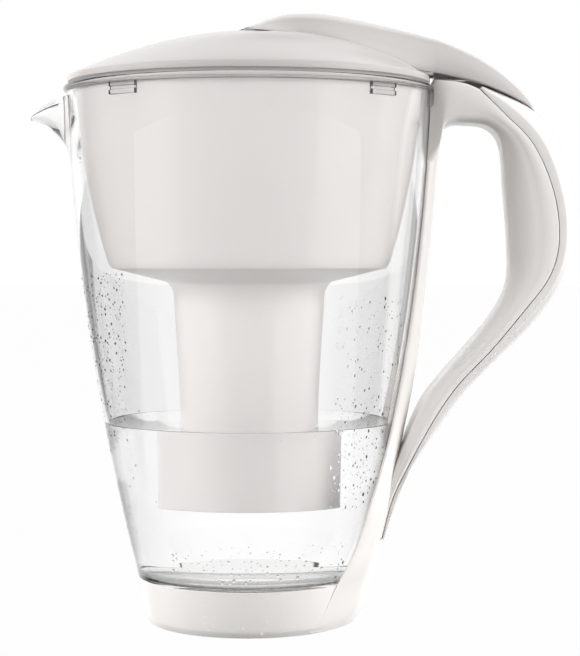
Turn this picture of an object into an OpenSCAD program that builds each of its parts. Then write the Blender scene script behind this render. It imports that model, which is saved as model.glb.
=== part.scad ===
// Filter jug: a clear conical jug in a white base-and-handle moulding, with a lift-out hopper,
// a filter cartridge and a domed lid whose flap covers the filling hole and the handle's head.
// Frame: +Z up, origin on the jug's axis at table level, spout towards -X, handle towards +X.

/* [Jug] */
// Height of the rim above the table
jug_h = 242.4; // [236:0.1:250]
// Outer radius of the clear wall where it leaves the base cup
jug_r_low = 50.5; // [48:0.1:53]
// Outer radius of the clear wall at the rim
jug_r_top = 82.1; // [80:0.1:85]
// Outward bow of the wall at half height
jug_bow = 6; // [4:0.1:8]
// Thickness of the clear wall
jug_wall = 2.6; // [2.2:0.1:3]
// Thickness of the clear floor
jug_floor = 5; // [3:0.1:6]
// Height of the flange around the rim
flange_h = 2.8; // [2:0.1:3.6]
// How far the rim flange stands out from the wall
flange_out = 1.5; // [1:0.1:2.5]
// Thickness of the rim above the ledge that carries the hopper
rim_wall = 1.5; // [1.2:0.1:1.8]

/* [Rim catches] */
// Width of one catch along the rim
catch_w = 11.5; // [8:0.5:16]
// Height of one catch below the flange
catch_h = 5.3; // [4:0.1:7]
// Depth of the slot in a catch
catch_slot_depth = 1; // [0.5:0.1:1.3]
// Angle from the handle line to the first catch
catch_angle = 45; // [35:1:55]

/* [Spout] */
// Half width of the beak where it leaves the wall
spout_half_w = 18; // [14:0.5:20]
// How far the tip reaches out from the middle of the wall
spout_reach = 18.3; // [15:0.1:22]
// Thickness of the beak at the wall
spout_wall = 2.4; // [2:0.1:2.8]
// Thickness of the beak at its tip
spout_tip_wall = 1; // [0.8:0.1:1.2]

/* [Base cup] */
// Height of the white cup around the foot of the jug
cup_h = 19.8; // [17:0.1:23]
// Radius of the cup near the table
cup_r_foot = 45.5; // [44:0.1:47]
// Thickness of the cup's wall and web
cup_wall = 2.4; // [2:0.1:3]
// Depth of the jug's spigot inside the cup
spigot_h = 2.2; // [1.5:0.1:3]
// Width of the rubber foot ring
foot_w = 2.8; // [2:0.1:3.5]
// Height of the rubber foot ring
foot_h = 5; // [4:0.1:6]
// How far the foot ring stands below the cup
foot_proud = 0.6; // [0.4:0.1:0.9]

/* [Handle] */
// Half width of the handle's grip and head
grip_half_w = 13.2; // [11:0.1:15]
// Thickness of the grip's hollow moulding
grip_wall = 2.4; // [2:0.1:3]
// How far the back strap stands out from the wall
strap_stand = 5.2; // [4.5:0.1:6]
// Thickness of the strap along its side edges
strap_edge = 0.8; // [0.6:0.1:1.2]
// Height of the head above the rim
head_rise = 3.4; // [2.6:0.1:3.6]
// Gap between the handle moulding and the clear jug
handle_gap = 0.3; // [0.2:0.05:0.5]
// Gap around the sides of the spine cover where it lies in the strap
pocket_gap = 0.1; // [0:0.05:0.2]
// How full the spine cover's edges are, as a share of its crown
spine_edge = 0.35; // [0.25:0.05:0.5]

/* [Lid] */
// Gap between the rim and the edge of the lid
lid_gap = 1.5; // [1.2:0.1:2]
// How far the lid's edge stays inside the wall's outside
lid_inset = 0.5; // [0.4:0.1:1]
// Height of the upright band along the lid's edge
lid_band = 2.6; // [2:0.1:3]
// Rise of the dome above that band
lid_rise = 21; // [20:0.1:22]
// Roundness of the dome, from a cone at 1 to a full dome at 2
lid_power = 1.8; // [1.7:0.05:1.9]
// Thickness of the lid
lid_wall = 2.2; // [1.8:0.1:2.6]
// Gap between the lid's skirt and the jug's rim
skirt_gap = 0.9; // [0.7:0.1:1.2]
// Thickness of the skirt
skirt_wall = 1.8; // [1.5:0.1:2.2]

/* [Flap] */
// Height of the flap's crown above the rim, at its highest
flap_rise = 32.7; // [32:0.1:34]
// Half width of the flap at its widest
flap_half_w = 33.5; // [31:0.1:35]
// Thickness of the flap's shell
flap_wall = 2.2; // [1.8:0.1:2.6]
// Thickness of the flap's liner
liner_wall = 1.8; // [1.4:0.1:2.2]
// Gap between the flap's lower edge and the lid
flap_gap = 0.4; // [0.3:0.05:0.6]
// Gap between the flap's tail and the handle's head
tail_gap = 2.2; // [1.6:0.1:3]
// How far the filling hole's edge lies inside the flap's outline
hole_inset = 6; // [5:0.5:8]
// Width of lid between the filling hole and the lid's edge
hole_rim = 8; // [6:0.5:12]

/* [Hinge] */
// Height of the hinge pin below the crown of the lid
hinge_drop = 2.5; // [2:0.1:3]
// Radius of the hinge pin
pin_r = 1.5; // [1.2:0.05:1.8]
// Running clearance around the pin
pin_clearance = 0.05; // [0.02:0.01:0.1]
// Outer radius of the flap's knuckle
knuckle_r = 3.9; // [3.5:0.1:4.1]
// Half width of the flap's knuckle
knuckle_half_w = 11; // [8:0.5:12]
// Radius of the trough that the knuckle turns in
trough_r = 6.2; // [5.8:0.1:6.5]
// Width of each ear that holds the pin
ear_w = 4.2; // [3:0.1:5]

/* [Hopper] */
// Gap between the hopper and the jug's wall below the ledge
hopper_gap = 1.4; // [1:0.1:2]
// Outer radius of the hopper where its wall ends
hopper_r_low = 63.7; // [60:0.1:66]
// Outward bow of the hopper's wall
hopper_bow = 2.15; // [1:0.05:3]
// Depth from the rim to the end of the hopper's wall
hopper_depth = 79.3; // [76:0.1:83]
// Thickness of the hopper's wall
hopper_wall = 2; // [1.6:0.1:2.4]
// Thickness of the hopper's hanging flange
hopper_flange = 1.6; // [1.2:0.1:2]
// Depth from the rim to the seat of the cartridge
seat_depth = 85.7; // [84.5:0.1:87]
// Depth from the rim to the end of the hopper's tube
tube_depth = 189.1; // [180:0.1:194]
// Clearance between a lifted-out piece and what it hangs in
lift_gap = 0.3; // [0.2:0.05:0.5]

/* [Cartridge] */
// Radius of the cartridge at its lower end
cartridge_r_low = 28.2; // [26:0.1:29.5]
// Radius of the cartridge's neck
cartridge_r_neck = 29.8; // [28.5:0.1:30.5]
// Thickness of the cartridge's shell
cartridge_wall = 1.4; // [1:0.1:1.8]
// Radius of the flange that rests on the hopper's seat
cartridge_flange_r = 36; // [34:0.1:37]
// Thickness of that flange
cartridge_flange = 2; // [1.5:0.1:2.5]
// Height of the cap's dome above the flange
cap_rise = 10; // [6:0.5:14]
// Number of slots in the cap, and in the floor
slot_count = 12; // [8:1:16]
// Width of one slot
slot_w = 1.6; // [1:0.1:2]
// Thickness of each mesh disc
mesh_t = 0.8; // [0.5:0.1:1.2]

/* [Hidden] */
$fn = 96;
EPS = 0.01;

// Heights worked out from the driving sizes
seat_z = cup_h - spigot_h;
floor_z = seat_z + jug_floor;
ledge_z = jug_h - flange_h;
spigot_r = jug_r_low - cup_wall - handle_gap;
rim_r_in = jug_r_top - rim_wall;
lid_r = jug_r_top - lid_inset;
lid_edge_z = jug_h + lid_gap;
dome_z = lid_edge_z + lid_band;
hinge_z = dome_z + lid_rise - hinge_drop;

function mix(a, b, t) = a + (b - a) * t;

// Outer radius of the clear wall at height z
function wall_r(z) = let (t = (z - cup_h) / (jug_h - cup_h))
    mix(jug_r_low, jug_r_top, t) + 4 * jug_bow * t * (1 - t);

// Outer radius of the base cup at height z
function cup_r(z) = mix(cup_r_foot, jug_r_low, pow(max(z, 0) / cup_h, 0.6));

// Height of the lid's dome at distance r from the axis
function lid_z(r) = dome_z + lid_rise * (1 - pow(min(r / lid_r, 1), lid_power));

// A smooth curve through every point of a list
function curve_point(p, k, t) = let (
        last = len(p) - 1,
        a = p[max(k - 1, 0)], b = p[k], c = p[min(k + 1, last)], d = p[min(k + 2, last)])
    0.5 * (2 * b + (c - a) * t + (2 * a - 5 * b + 4 * c - d) * t * t
        + (3 * b - a - 3 * c + d) * t * t * t);
function curve(p, steps) = [
    for (k = [0 : len(p) - 2], s = [0 : steps - 1]) curve_point(p, k, s / steps),
    p[len(p) - 1]];

function reversed(list) = [for (k = [len(list) - 1 : -1 : 0]) list[k]];

// A closed sheet between two grids of points, which have the same rows and columns
module sheet(upper, lower) {
    rows = len(upper);
    cols = len(upper[0]);
    count = rows * cols;
    points = [for (row = upper) each row, for (row = lower) each row];
    function at(i, j) = i * cols + j;
    function quad(a, b, c, d) = [[a, c, b], [a, d, c]];
    skins = [for (i = [0 : rows - 2], j = [0 : cols - 2]) each concat(
        quad(at(i, j), at(i, j + 1), at(i + 1, j + 1), at(i + 1, j)),
        quad(count + at(i + 1, j), count + at(i + 1, j + 1), count + at(i, j + 1), count + at(i, j)))];
    long_edges = [for (i = [0 : rows - 2]) each concat(
        quad(at(i, 0), at(i + 1, 0), count + at(i + 1, 0), count + at(i, 0)),
        quad(at(i + 1, cols - 1), at(i, cols - 1), count + at(i, cols - 1), count + at(i + 1, cols - 1)))];
    short_edges = [for (j = [0 : cols - 2]) each concat(
        quad(at(0, j + 1), at(0, j), count + at(0, j), count + at(0, j + 1)),
        quad(at(rows - 1, j), at(rows - 1, j + 1), count + at(rows - 1, j + 1), count + at(rows - 1, j)))];
    polyhedron(points, concat(skins, long_edges, short_edges));
}

// Rows of the wall's outline between two heights
function wall_line(z_low, z_high, inset, steps) = [
    for (k = [0 : steps]) let (z = mix(z_low, z_high, k / steps)) [wall_r(z) - inset, z]];

/* Jug */

// Rows of the beak from the wall to the tip:
// [share of the reach, drop of the lips, drop of the keel, share of the half width]
SPOUT_ROWS = [[0, 4.6, 37, 1], [0.04, 4.7, 32, 0.98], [0.21, 5.4, 25.6, 0.84], [0.4, 6.6, 21, 0.66],
    [0.68, 9.2, 17.4, 0.4], [1, 13.2, 14.9, 0.12]];
SPOUT_STEPS = 8;

// One row of points around the beak, thinned by inset
function spout_row(row, inset) = [for (k = [-SPOUT_STEPS : SPOUT_STEPS]) let (
        turn = 90 * k / SPOUT_STEPS,
        y = (row[3] * spout_half_w - inset) * sin(turn),
        z = jug_h - mix(row[1], row[2] - inset, pow(cos(turn), 0.8)),
        x = sqrt(pow(wall_r(z) - jug_wall / 2, 2) - y * y) + row[0] * spout_reach)
    [-x, y, z]];

function spout_grid(thickness) = [for (row = curve(SPOUT_ROWS, 3))
    spout_row(row, thickness * mix(spout_wall, spout_tip_wall, row[0]))];

module spout_window() {
    outline = [for (p = spout_row(SPOUT_ROWS[0], spout_wall)) [p[1], p[2]]];
    rotate([90, 0, -90]) linear_extrude(jug_r_top + spout_reach) polygon([for (p = outline) [-p[0], p[1]]]);
}

module rim_catch() {
    r_in = wall_r(ledge_z) - jug_wall / 2;
    r_out = jug_r_top + flange_out;
    turn = catch_w / r_out * 180 / PI;
    slot_top = ledge_z - catch_h / 4;
    slot_low = ledge_z - catch_h / 2;
    rotate(-turn / 2) rotate_extrude(angle = turn) polygon([
        [r_in, ledge_z - catch_h], [r_out, ledge_z - catch_h], [r_out, slot_low],
        [r_out - catch_slot_depth, slot_low], [r_out - catch_slot_depth, slot_top],
        [r_out, slot_top], [r_out, ledge_z + EPS], [r_in, ledge_z + EPS]]);
}

module jug() color("aliceblue", 0.4) {
    r_out = jug_r_top + flange_out;
    difference() {
        rotate_extrude() polygon(concat(
            [[0, seat_z], [spigot_r, seat_z], [spigot_r, cup_h]],
            wall_line(cup_h, ledge_z, 0, 18),
            [[r_out, ledge_z], [r_out, jug_h], [rim_r_in, jug_h], [rim_r_in, ledge_z]],
            reversed(wall_line(floor_z + 4, ledge_z, jug_wall, 18)),
            [[wall_r(floor_z + 1.2) - jug_wall - 1.2, floor_z + 1.2],
             [wall_r(floor_z) - jug_wall - 4, floor_z], [0, floor_z]]));
        spout_window();
    }
    sheet(spout_grid(1), spout_grid(0));
    for (k = [0 : 3]) rotate(catch_angle + 90 * k) rim_catch();
}

/* Base cup, back strap and grip */

// Rows of the strap from the table up: [height, half width, stand-off as a share of strap_stand]
STRAP_ROWS = [[1.2, 37.5, 0.3], [9.3, 35.4, 0.82], [20.7, 32.6, 1], [36.6, 28, 1.2], [54.8, 24.8, 1.25],
    [70, 20.5, 1], [86.7, 16, 1], [112, 12, 1.1], [140, 10, 1], [180, 9.6, 0.9]];
// The strap's last row lies this far below the rim
STRAP_TOP_DROP = 22;
STRAP_STEPS = 8;

// Side view of the handle from its head to its foot, as [reach from the wall, drop below the rim]
CREASE = [[22.3, 0.4], [34.4, 11.9], [48.1, 25.6], [58.6, 46.5], [63.3, 67.9], [61.1, 84.9],
    [51.2, 101.1], [38.8, 118.7], [26.2, 134.2], [17.8, 149.4], [10, 169.8], [5.3, 186], [4.6, 203]];
CROWN = [[23.4, -0.2], [44.7, 8.6], [58.6, 24.9], [66.9, 47.4], [70.1, 68.4], [67.1, 87.6],
    [56.9, 105.4], [43.2, 121.6], [30.7, 137.2], [22.2, 152.8], [13.4, 171], [10.2, 187.5],
    [7, 204]];
FINGER_SIDE = [[13.6, 16.4], [25.8, 17.9], [32.6, 26], [35.9, 45.9], [40.1, 70.4], [41.6, 88.4],
    [36, 103.4], [26.9, 117.2], [17.4, 130.6], [10.5, 142.8], [5.2, 164.4], [2.4, 184],
    [2, 201]];
// The corner between the strap and the head, at the top of the finger gap
FINGER_CORNER = [[9, 17.2], [5.8, 20], [4.6, 26]];
GRIP_STEPS = 3;

function at_wall(p) = let (z = jug_h - p[1]) [wall_r(z) + p[0], z];
function side_line(rows) = [for (p = curve(rows, GRIP_STEPS)) at_wall(p)];

crease_line = side_line(CREASE);
crown_line = side_line(CROWN);
finger_line = side_line(FINGER_SIDE);

module side_slab(outline, half_w) {
    rotate([90, 0, 0]) linear_extrude(2 * half_w, center = true) polygon(outline);
}

function strap_row(z, half_w, stand) = let (
        base = z > cup_h ? wall_r(z) + handle_gap : cup_r(z) - cup_wall / 2,
        skin = (z > cup_h ? wall_r(z) + handle_gap : cup_r(z)) + strap_edge,
        half_turn = asin(half_w / skin))
    [[for (k = [-STRAP_STEPS : STRAP_STEPS]) let (
            share = k / STRAP_STEPS,
            r = skin + (stand - strap_edge) * pow(1 - share * share, 0.7))
        [r * cos(share * half_turn), r * sin(share * half_turn), z]],
     [for (k = [-STRAP_STEPS : STRAP_STEPS]) let (turn = k / STRAP_STEPS * half_turn)
        [base * cos(turn), base * sin(turn), z]]];

module strap() {
    top = [jug_h - STRAP_TOP_DROP, STRAP_ROWS[len(STRAP_ROWS) - 1][1], STRAP_ROWS[len(STRAP_ROWS) - 1][2]];
    rows = [for (row = curve(concat(STRAP_ROWS, [top]), 2)) strap_row(row[0], row[1], row[2] * strap_stand)];
    sheet([for (row = rows) row[0]], [for (row = rows) row[1]]);
}

module cup() {
    lip_r = cup_r_foot - cup_wall - 1.5;
    shelf_r = lip_r - foot_w - handle_gap;
    rotate_extrude() polygon(concat(
        [[lip_r, foot_proud], [cup_r_foot - 0.9, foot_proud]],
        [for (k = [1 : 8]) let (z = cup_h * k / 8) [cup_r(z), z]],
        [[jug_r_low - cup_wall, cup_h], [jug_r_low - cup_wall, seat_z], [0, seat_z],
         [0, seat_z - cup_wall], [cup_r(seat_z) - 2 * cup_wall, seat_z - cup_wall],
         [shelf_r + cup_wall, foot_h + cup_wall], [shelf_r, foot_h + cup_wall],
         [shelf_r, foot_h], [lip_r, foot_h]]));
}

// The space that the jug and the lid take inside the handle moulding
module jug_envelope() {
    r_rim = jug_r_top + flange_out + handle_gap;
    rotate_extrude() polygon(concat(
        [[0, cup_h]], wall_line(cup_h, ledge_z - handle_gap, -handle_gap, 18),
        [[r_rim, ledge_z - handle_gap], [r_rim, jug_h + handle_gap],
         [jug_r_top + handle_gap, jug_h + handle_gap],
         [jug_r_top + handle_gap, jug_h + flap_rise], [0, jug_h + flap_rise]]));
}

head_top = [[wall_r(jug_h) - 2, jug_h + head_rise], [wall_r(jug_h) + 2, jug_h + head_rise],
    [wall_r(jug_h) + 13, jug_h + 0.55 * head_rise]];

module grip() {
    head_back = [[wall_r(jug_h - 30) - 2, jug_h - 30]];
    corner = [for (p = FINGER_CORNER) at_wall(p)];
    cavity_side = [for (k = [0 : len(crease_line) - 1]) mix(finger_line[k], crease_line[k], 0.3)];
    cavity_open = [for (k = [0 : len(crease_line) - 1]) mix(finger_line[k], crease_line[k], 1.2)];
    last = len(crease_line) - 8;
    difference() {
        side_slab(concat(head_top, crease_line, reversed(finger_line), corner, head_back), grip_half_w);
        side_slab(concat([for (k = [3 : last]) cavity_side[k]], [for (k = [last : -1 : 3]) cavity_open[k]]),
            grip_half_w - grip_wall);
        jug_envelope();
    }
}

// Room in the strap and the grip for the spine cover
module spine_pocket() {
    beyond = [for (k = [0 : len(crease_line) - 1]) mix(crease_line[k], crown_line[k], 3)];
    side_slab(concat(crease_line, reversed(beyond)), grip_half_w + pocket_gap);
}

module handle_frame() color("whitesmoke") {
    difference() {
        union() {
            cup();
            strap();
            grip();
        }
        spine_pocket();
    }
}

SPINE_STEPS = 6;

function spine_row(k, full) = [for (j = [-SPINE_STEPS : SPINE_STEPS]) let (
        share = j / SPINE_STEPS,
        crown = mix(spine_edge, 1, pow(1 - share * share, 0.7)),
        p = mix(crease_line[k], crown_line[k], full ? crown : 0))
    [p[0], -share * grip_half_w, p[1]]];

module handle_spine() color("white") {
    sheet([for (k = [0 : len(crease_line) - 1]) spine_row(k, true)],
        [for (k = [0 : len(crease_line) - 1]) spine_row(k, false)]);
}

module foot_ring() color("gainsboro") {
    r_out = cup_r_foot - cup_wall - 1.5 - handle_gap / 2;
    rotate_extrude() polygon([[r_out - foot_w, 0], [r_out, 0], [r_out, foot_h], [r_out - foot_w, foot_h]]);
}

/* Hopper */

hopper_r_rim = wall_r(ledge_z) - jug_wall - hopper_gap;
hopper_low_z = jug_h - hopper_depth;
seat_h = jug_h - seat_depth;
tube_low_z = jug_h - tube_depth;
hang_r = rim_r_in - lift_gap;
flange_top_z = ledge_z + hopper_flange;

function hopper_r(z) = let (t = (z - hopper_low_z) / (ledge_z - hopper_low_z))
    mix(hopper_r_low, hopper_r_rim, t) + 4 * hopper_bow * t * (1 - t);
function hopper_line(inset) = [for (k = [0 : 10])
    let (z = mix(hopper_low_z, ledge_z, k / 10)) [hopper_r(z) - inset, z]];

// Inner radius of the tube, a lifting gap wider than the cartridge
function tube_r(z) = let (t = (z - tube_low_z) / (seat_h - tube_low_z))
    mix(cartridge_r_low, cartridge_r_neck, t) + 2 * lift_gap;

module hopper() color("white") {
    cone_z = seat_h - hopper_wall;
    rotate_extrude() polygon(concat(
        [[tube_r(tube_low_z), tube_low_z], [tube_r(tube_low_z) + hopper_wall, tube_low_z],
         [tube_r(seat_h - 24) + hopper_wall, seat_h - 24], [tube_r(seat_h) + hopper_wall + 1.4, seat_h - 8],
         [cartridge_flange_r + 1, cone_z], [hopper_r_low - 1.4, hopper_low_z - 2.2]],
        hopper_line(0),
        [[hang_r, ledge_z], [hang_r, flange_top_z], [hopper_r_rim - hopper_wall, flange_top_z]],
        reversed(hopper_line(hopper_wall)),
        [[hopper_r_low - hopper_wall - 1.4, hopper_low_z - 0.4],
         [cartridge_flange_r + 3, seat_h + 1.6], [cartridge_flange_r + 1, seat_h],
         [tube_r(seat_h), seat_h]]));
}

/* Cartridge */

cartridge_low_z = tube_low_z + 3;
flange_z = seat_h + cartridge_flange;
cartridge_floor_z = cartridge_low_z + cartridge_wall;
// Groove for the seal around the cartridge's neck, and the play of the seal in it
groove_depth = 0.8;
groove_h = 3;
seal_slack = 0.1;

function cartridge_r(z) = let (t = (z - tube_low_z) / (seat_h - tube_low_z))
    mix(cartridge_r_low, cartridge_r_neck, t);

// Slots cut through a floor or a cap, from r_near to r_far
module slot_ring(r_near, r_far, z_low, z_high) {
    for (k = [0 : slot_count - 1]) rotate(360 * k / slot_count)
        translate([r_near, -slot_w / 2, z_low]) cube([r_far - r_near, slot_w, z_high - z_low]);
}

module cartridge_shell() color("white") {
    groove_top = seat_h - 2;
    groove_low = groove_top - groove_h;
    difference() {
        rotate_extrude() polygon([
            [0, cartridge_low_z], [cartridge_r(cartridge_low_z), cartridge_low_z],
            [cartridge_r(groove_low), groove_low], [cartridge_r(groove_low) - groove_depth, groove_low],
            [cartridge_r(groove_low) - groove_depth, groove_top], [cartridge_r(groove_top), groove_top],
            [cartridge_r(seat_h), seat_h], [cartridge_flange_r, seat_h], [cartridge_flange_r, flange_z],
            [cartridge_r(seat_h) - 2 * cartridge_wall, flange_z],
            [cartridge_r(groove_low) - 2 * cartridge_wall, groove_low],
            [cartridge_r(cartridge_low_z) - cartridge_wall, cartridge_low_z + 6],
            [cartridge_r(cartridge_low_z) - cartridge_wall, cartridge_floor_z], [0, cartridge_floor_z]]);
        slot_ring(8, cartridge_r_low - 6, cartridge_low_z - 1, cartridge_floor_z + 1);
    }
}

module cartridge_seal() color("gainsboro") {
    groove_top = seat_h - 2;
    groove_low = groove_top - groove_h;
    r_in = cartridge_r(groove_low) - groove_depth + seal_slack;
    rotate_extrude() polygon([
        [r_in, groove_low + seal_slack], [tube_r(groove_low) - lift_gap / 2, (groove_low + groove_top) / 2],
        [r_in, groove_top - seal_slack]]);
}

module cartridge_cap() color("white") {
    dome_r = cartridge_flange_r - 5;
    top_z = flange_z + cap_rise;
    grip_w = 26;
    grip_t = 3;
    grip_h = 7;
    difference() {
        union() {
            rotate_extrude() polygon([
                [cartridge_flange_r, flange_z], [cartridge_flange_r, flange_z + cartridge_wall],
                [dome_r, flange_z + cartridge_wall + 0.6], [dome_r - 7, top_z - 1], [dome_r - 10, top_z],
                [0, top_z], [0, top_z - cartridge_wall], [dome_r - 10.5, top_z - cartridge_wall],
                [dome_r - 8.6, top_z - cartridge_wall - 1],
                [dome_r - 1.6, flange_z]]);
            translate([-grip_w / 2, -grip_t / 2, top_z - EPS]) cube([grip_w, grip_t, grip_h]);
        }
        slot_ring(9, dome_r - 11, top_z - 2 * cartridge_wall, top_z + EPS);
        translate([-grip_w / 2 + grip_t, -grip_t, top_z + 1])
            cube([grip_w - 2 * grip_t, 2 * grip_t, grip_h - grip_t - 1]);
    }
}

module mesh_disc(r, z) {
    translate([0, 0, z]) cylinder(h = mesh_t, r = r);
}

media_low_z = cartridge_floor_z + mesh_t + 0.2;
media_high_z = flange_z - mesh_t - 4;

module outlet_mesh() color("silver") {
    mesh_disc(cartridge_r(cartridge_low_z) - cartridge_wall - 0.2, cartridge_floor_z + 0.1);
}

module inlet_mesh() color("silver") {
    mesh_disc(cartridge_r(seat_h) - 2 * cartridge_wall - 0.3, media_high_z + 0.1);
}

module filter_media() color("dimgray") {
    slack = 0.2;
    r_low = cartridge_r(cartridge_low_z) - cartridge_wall - slack;
    r_high = cartridge_r(seat_h - 2 - groove_h) - 2 * cartridge_wall - slack;
    rotate_extrude() polygon([
        [0, media_low_z], [r_low, media_low_z], [r_low, cartridge_low_z + 6], [r_high, seat_h - 2 - groove_h],
        [r_high, media_high_z], [0, media_high_z]]);
}

/* Flap outline, shared with the lid's filling hole */

// Rows over the lid: [share of the lid's radius, share of flap_rise, share of the half width]
LID_ROWS = [[0.045, 0.862, 0.42], [0.1, 0.912, 0.66], [0.185, 0.972, 0.88], [0.295, 0.997, 1],
    [0.44, 0.98, 0.97], [0.61, 0.908, 0.82], [0.78, 0.82, 0.64], [0.93, 0.731, 0.5]];
// Rows over the handle: [reach beyond the lid, crown above the rim, half width, head's top above the rim]
TAIL_ROWS = [[1, 22.1, 14.4, 3.6], [8.3, 19.7, 13.6, 2.5], [21, 13.9, 13, 0], [31.9, 6.9, 12, -3.7],
    [40.3, -0.2, 10.5, -7.4], [48.8, -9.4, 6, -12.5]];
FLAP_STEPS = 8;
FLAP_ROW_STEPS = 2;

// [x, crown z, half width, underside z or undef where the flap lies on the lid]
flap_rows = concat(
    [for (row = curve(LID_ROWS, FLAP_ROW_STEPS))
        [row[0] * lid_r, jug_h + row[1] * flap_rise, row[2] * flap_half_w, undef]],
    [for (row = curve(TAIL_ROWS, FLAP_ROW_STEPS))
        [lid_r + row[0], jug_h + row[1], row[2], jug_h + row[3] + tail_gap]]);

function norm2(x, y) = sqrt(x * x + y * y);
function flap_low(row, y) = is_undef(row[3]) ? lid_z(norm2(row[0], y)) + flap_gap : row[3];

function flap_arch(row, inset) = [for (k = [-FLAP_STEPS : FLAP_STEPS]) let (
        turn = 90 * k / FLAP_STEPS,
        half_w = row[2] - inset,
        y = half_w * sin(turn),
        low = flap_low(row, half_w),
        z = mix(low, row[1] - min(inset, (row[1] - low) / 3), pow(cos(turn), 0.8)))
    [row[0], -y, z]];

module lid_shell() color("white") {
    skirt_r = rim_r_in - skirt_gap;
    ear_half_w = knuckle_half_w + ear_w + lift_gap;
    cradle_half = trough_r + 2;
    hole_end = lid_r - hole_rim;
    hole_rows = [for (row = flap_rows)
        if (is_undef(row[3]) && row[0] > cradle_half + lid_wall && row[0] < hole_end) row];
    dome = [for (k = [0 : 16]) let (r = (lid_r - 0.6) * (1 - k / 16)) [r, lid_z(r)]];
    dome_in = [for (k = [0 : 16]) let (r = (skirt_r - skirt_wall) * k / 16) [r, lid_z(r) - lid_wall]];
    difference() {
        union() {
            rotate_extrude() polygon(concat(
                [[skirt_r - skirt_wall, flange_top_z], [skirt_r, flange_top_z], [skirt_r, lid_edge_z],
                 [lid_r, lid_edge_z], [lid_r, dome_z]], dome, dome_in));
            translate([-cradle_half, -ear_half_w, hinge_z - trough_r - lid_wall])
                cube([2 * cradle_half, 2 * ear_half_w, trough_r + lid_wall + 0.4]);
        }
        linear_extrude(2 * jug_h) polygon(concat(
            [for (row = hole_rows) [row[0], row[2] - hole_inset]],
            reversed([for (row = hole_rows) [row[0], hole_inset - row[2]]])));
        translate([0, 0, hinge_z]) rotate([90, 0, 0]) {
            cylinder(h = 2 * (knuckle_half_w + lift_gap), r = trough_r, center = true);
            cylinder(h = 2 * (ear_half_w - 1), r = pin_r + pin_clearance, center = true);
        }
    }
}

module flap_hinge_pin() color("silver") {
    length = 2 * (knuckle_half_w + ear_w + lift_gap - 1) - 0.2;
    translate([0, 0, hinge_z]) rotate([90, 0, 0]) cylinder(h = length, r = pin_r, center = true);
}

module flap_shell() color("white") {
    web_x = flap_rows[1][0] + 2;
    difference() {
        union() {
            sheet([for (row = flap_rows) flap_arch(row, 0)],
                [for (row = flap_rows) flap_arch(row, flap_wall)]);
            translate([0, 0, hinge_z]) rotate([90, 0, 0])
                cylinder(h = 2 * knuckle_half_w, r = knuckle_r, center = true);
            side_slab([[0, hinge_z + knuckle_r - 0.4], [0, hinge_z + knuckle_r],
                [web_x, flap_rows[1][1] - 0.6], [web_x, flap_rows[1][1] - flap_wall]], knuckle_half_w);
        }
        translate([0, 0, hinge_z]) rotate([90, 0, 0])
            cylinder(h = 4 * knuckle_half_w, r = pin_r + pin_clearance, center = true);
    }
}

// The liner closes the flap's hollow a little above the lid
function liner_z(row) = is_undef(row[3]) ? lid_z(row[0]) + flap_gap + 0.3 : row[3] + 0.6;
function liner_half_w(row) = let (
        half_w = row[2] - flap_wall,
        low = flap_low(row, half_w),
        height = row[1] - flap_wall - low,
        share = min(1, (liner_z(row) + liner_wall + 0.3 - low) / height))
    half_w * sin(acos(pow(share, 1.25))) - 0.3;

// The liner starts and ends this many rows inside the flap
LINER_START = 5;
LINER_END = 4;
function liner_grid(lift) = [for (k = [LINER_START : len(flap_rows) - LINER_END]) let (row = flap_rows[k])
    [for (side = [1, -1]) [row[0], side * liner_half_w(row), liner_z(row) + lift]]];

module flap_liner() color("white") {
    sheet(liner_grid(liner_wall), liner_grid(0));
}

jug();
handle_frame();
handle_spine();
foot_ring();
hopper();
cartridge_shell();
cartridge_cap();
cartridge_seal();
inlet_mesh();
outlet_mesh();
filter_media();
lid_shell();
flap_hinge_pin();
flap_shell();
flap_liner();
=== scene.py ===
"""Looks of a water filter jug with a flip lid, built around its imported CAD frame.

The jug is a thin clear shell with a beak. A white base cup carries it and runs up its back as
a strap, which turns into a curved grip. A milky hopper hangs in the rim with the filter
cartridge in its tube, and a domed lid with a hinged flap closes the top.
Lengths are in millimetres until a mesh is made, which is in metres.
"""

import logging
import math
import random
from dataclasses import dataclass, field
from enum import Enum
from typing import Callable, Optional, Sequence

import bmesh
import bpy
import numpy as np
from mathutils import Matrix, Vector
from mathutils.bvhtree import BVHTree


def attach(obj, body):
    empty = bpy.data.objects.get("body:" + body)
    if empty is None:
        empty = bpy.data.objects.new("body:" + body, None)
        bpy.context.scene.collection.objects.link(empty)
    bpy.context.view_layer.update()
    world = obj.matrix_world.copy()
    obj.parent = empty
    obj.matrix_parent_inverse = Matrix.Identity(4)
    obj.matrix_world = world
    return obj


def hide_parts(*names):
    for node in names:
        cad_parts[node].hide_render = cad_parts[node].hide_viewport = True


LOG = logging.getLogger("jug")
MM = 0.001

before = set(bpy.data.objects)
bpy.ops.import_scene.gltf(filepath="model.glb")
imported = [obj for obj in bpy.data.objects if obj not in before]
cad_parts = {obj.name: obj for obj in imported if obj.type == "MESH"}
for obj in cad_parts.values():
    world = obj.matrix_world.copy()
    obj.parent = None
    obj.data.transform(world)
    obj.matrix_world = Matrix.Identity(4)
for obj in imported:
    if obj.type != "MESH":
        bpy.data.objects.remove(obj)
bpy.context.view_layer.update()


# Numbers and curves


def mix(a: float, b: float, t: float) -> float:
    """Return the value a share t of the way from a to b."""
    return a + (b - a) * t


def smooth_step(t: float) -> float:
    """Return a soft step from 0 to 1 as t goes from 0 to 1."""
    t = min(max(t, 0.0), 1.0)
    return t * t * (3 - 2 * t)


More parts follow.
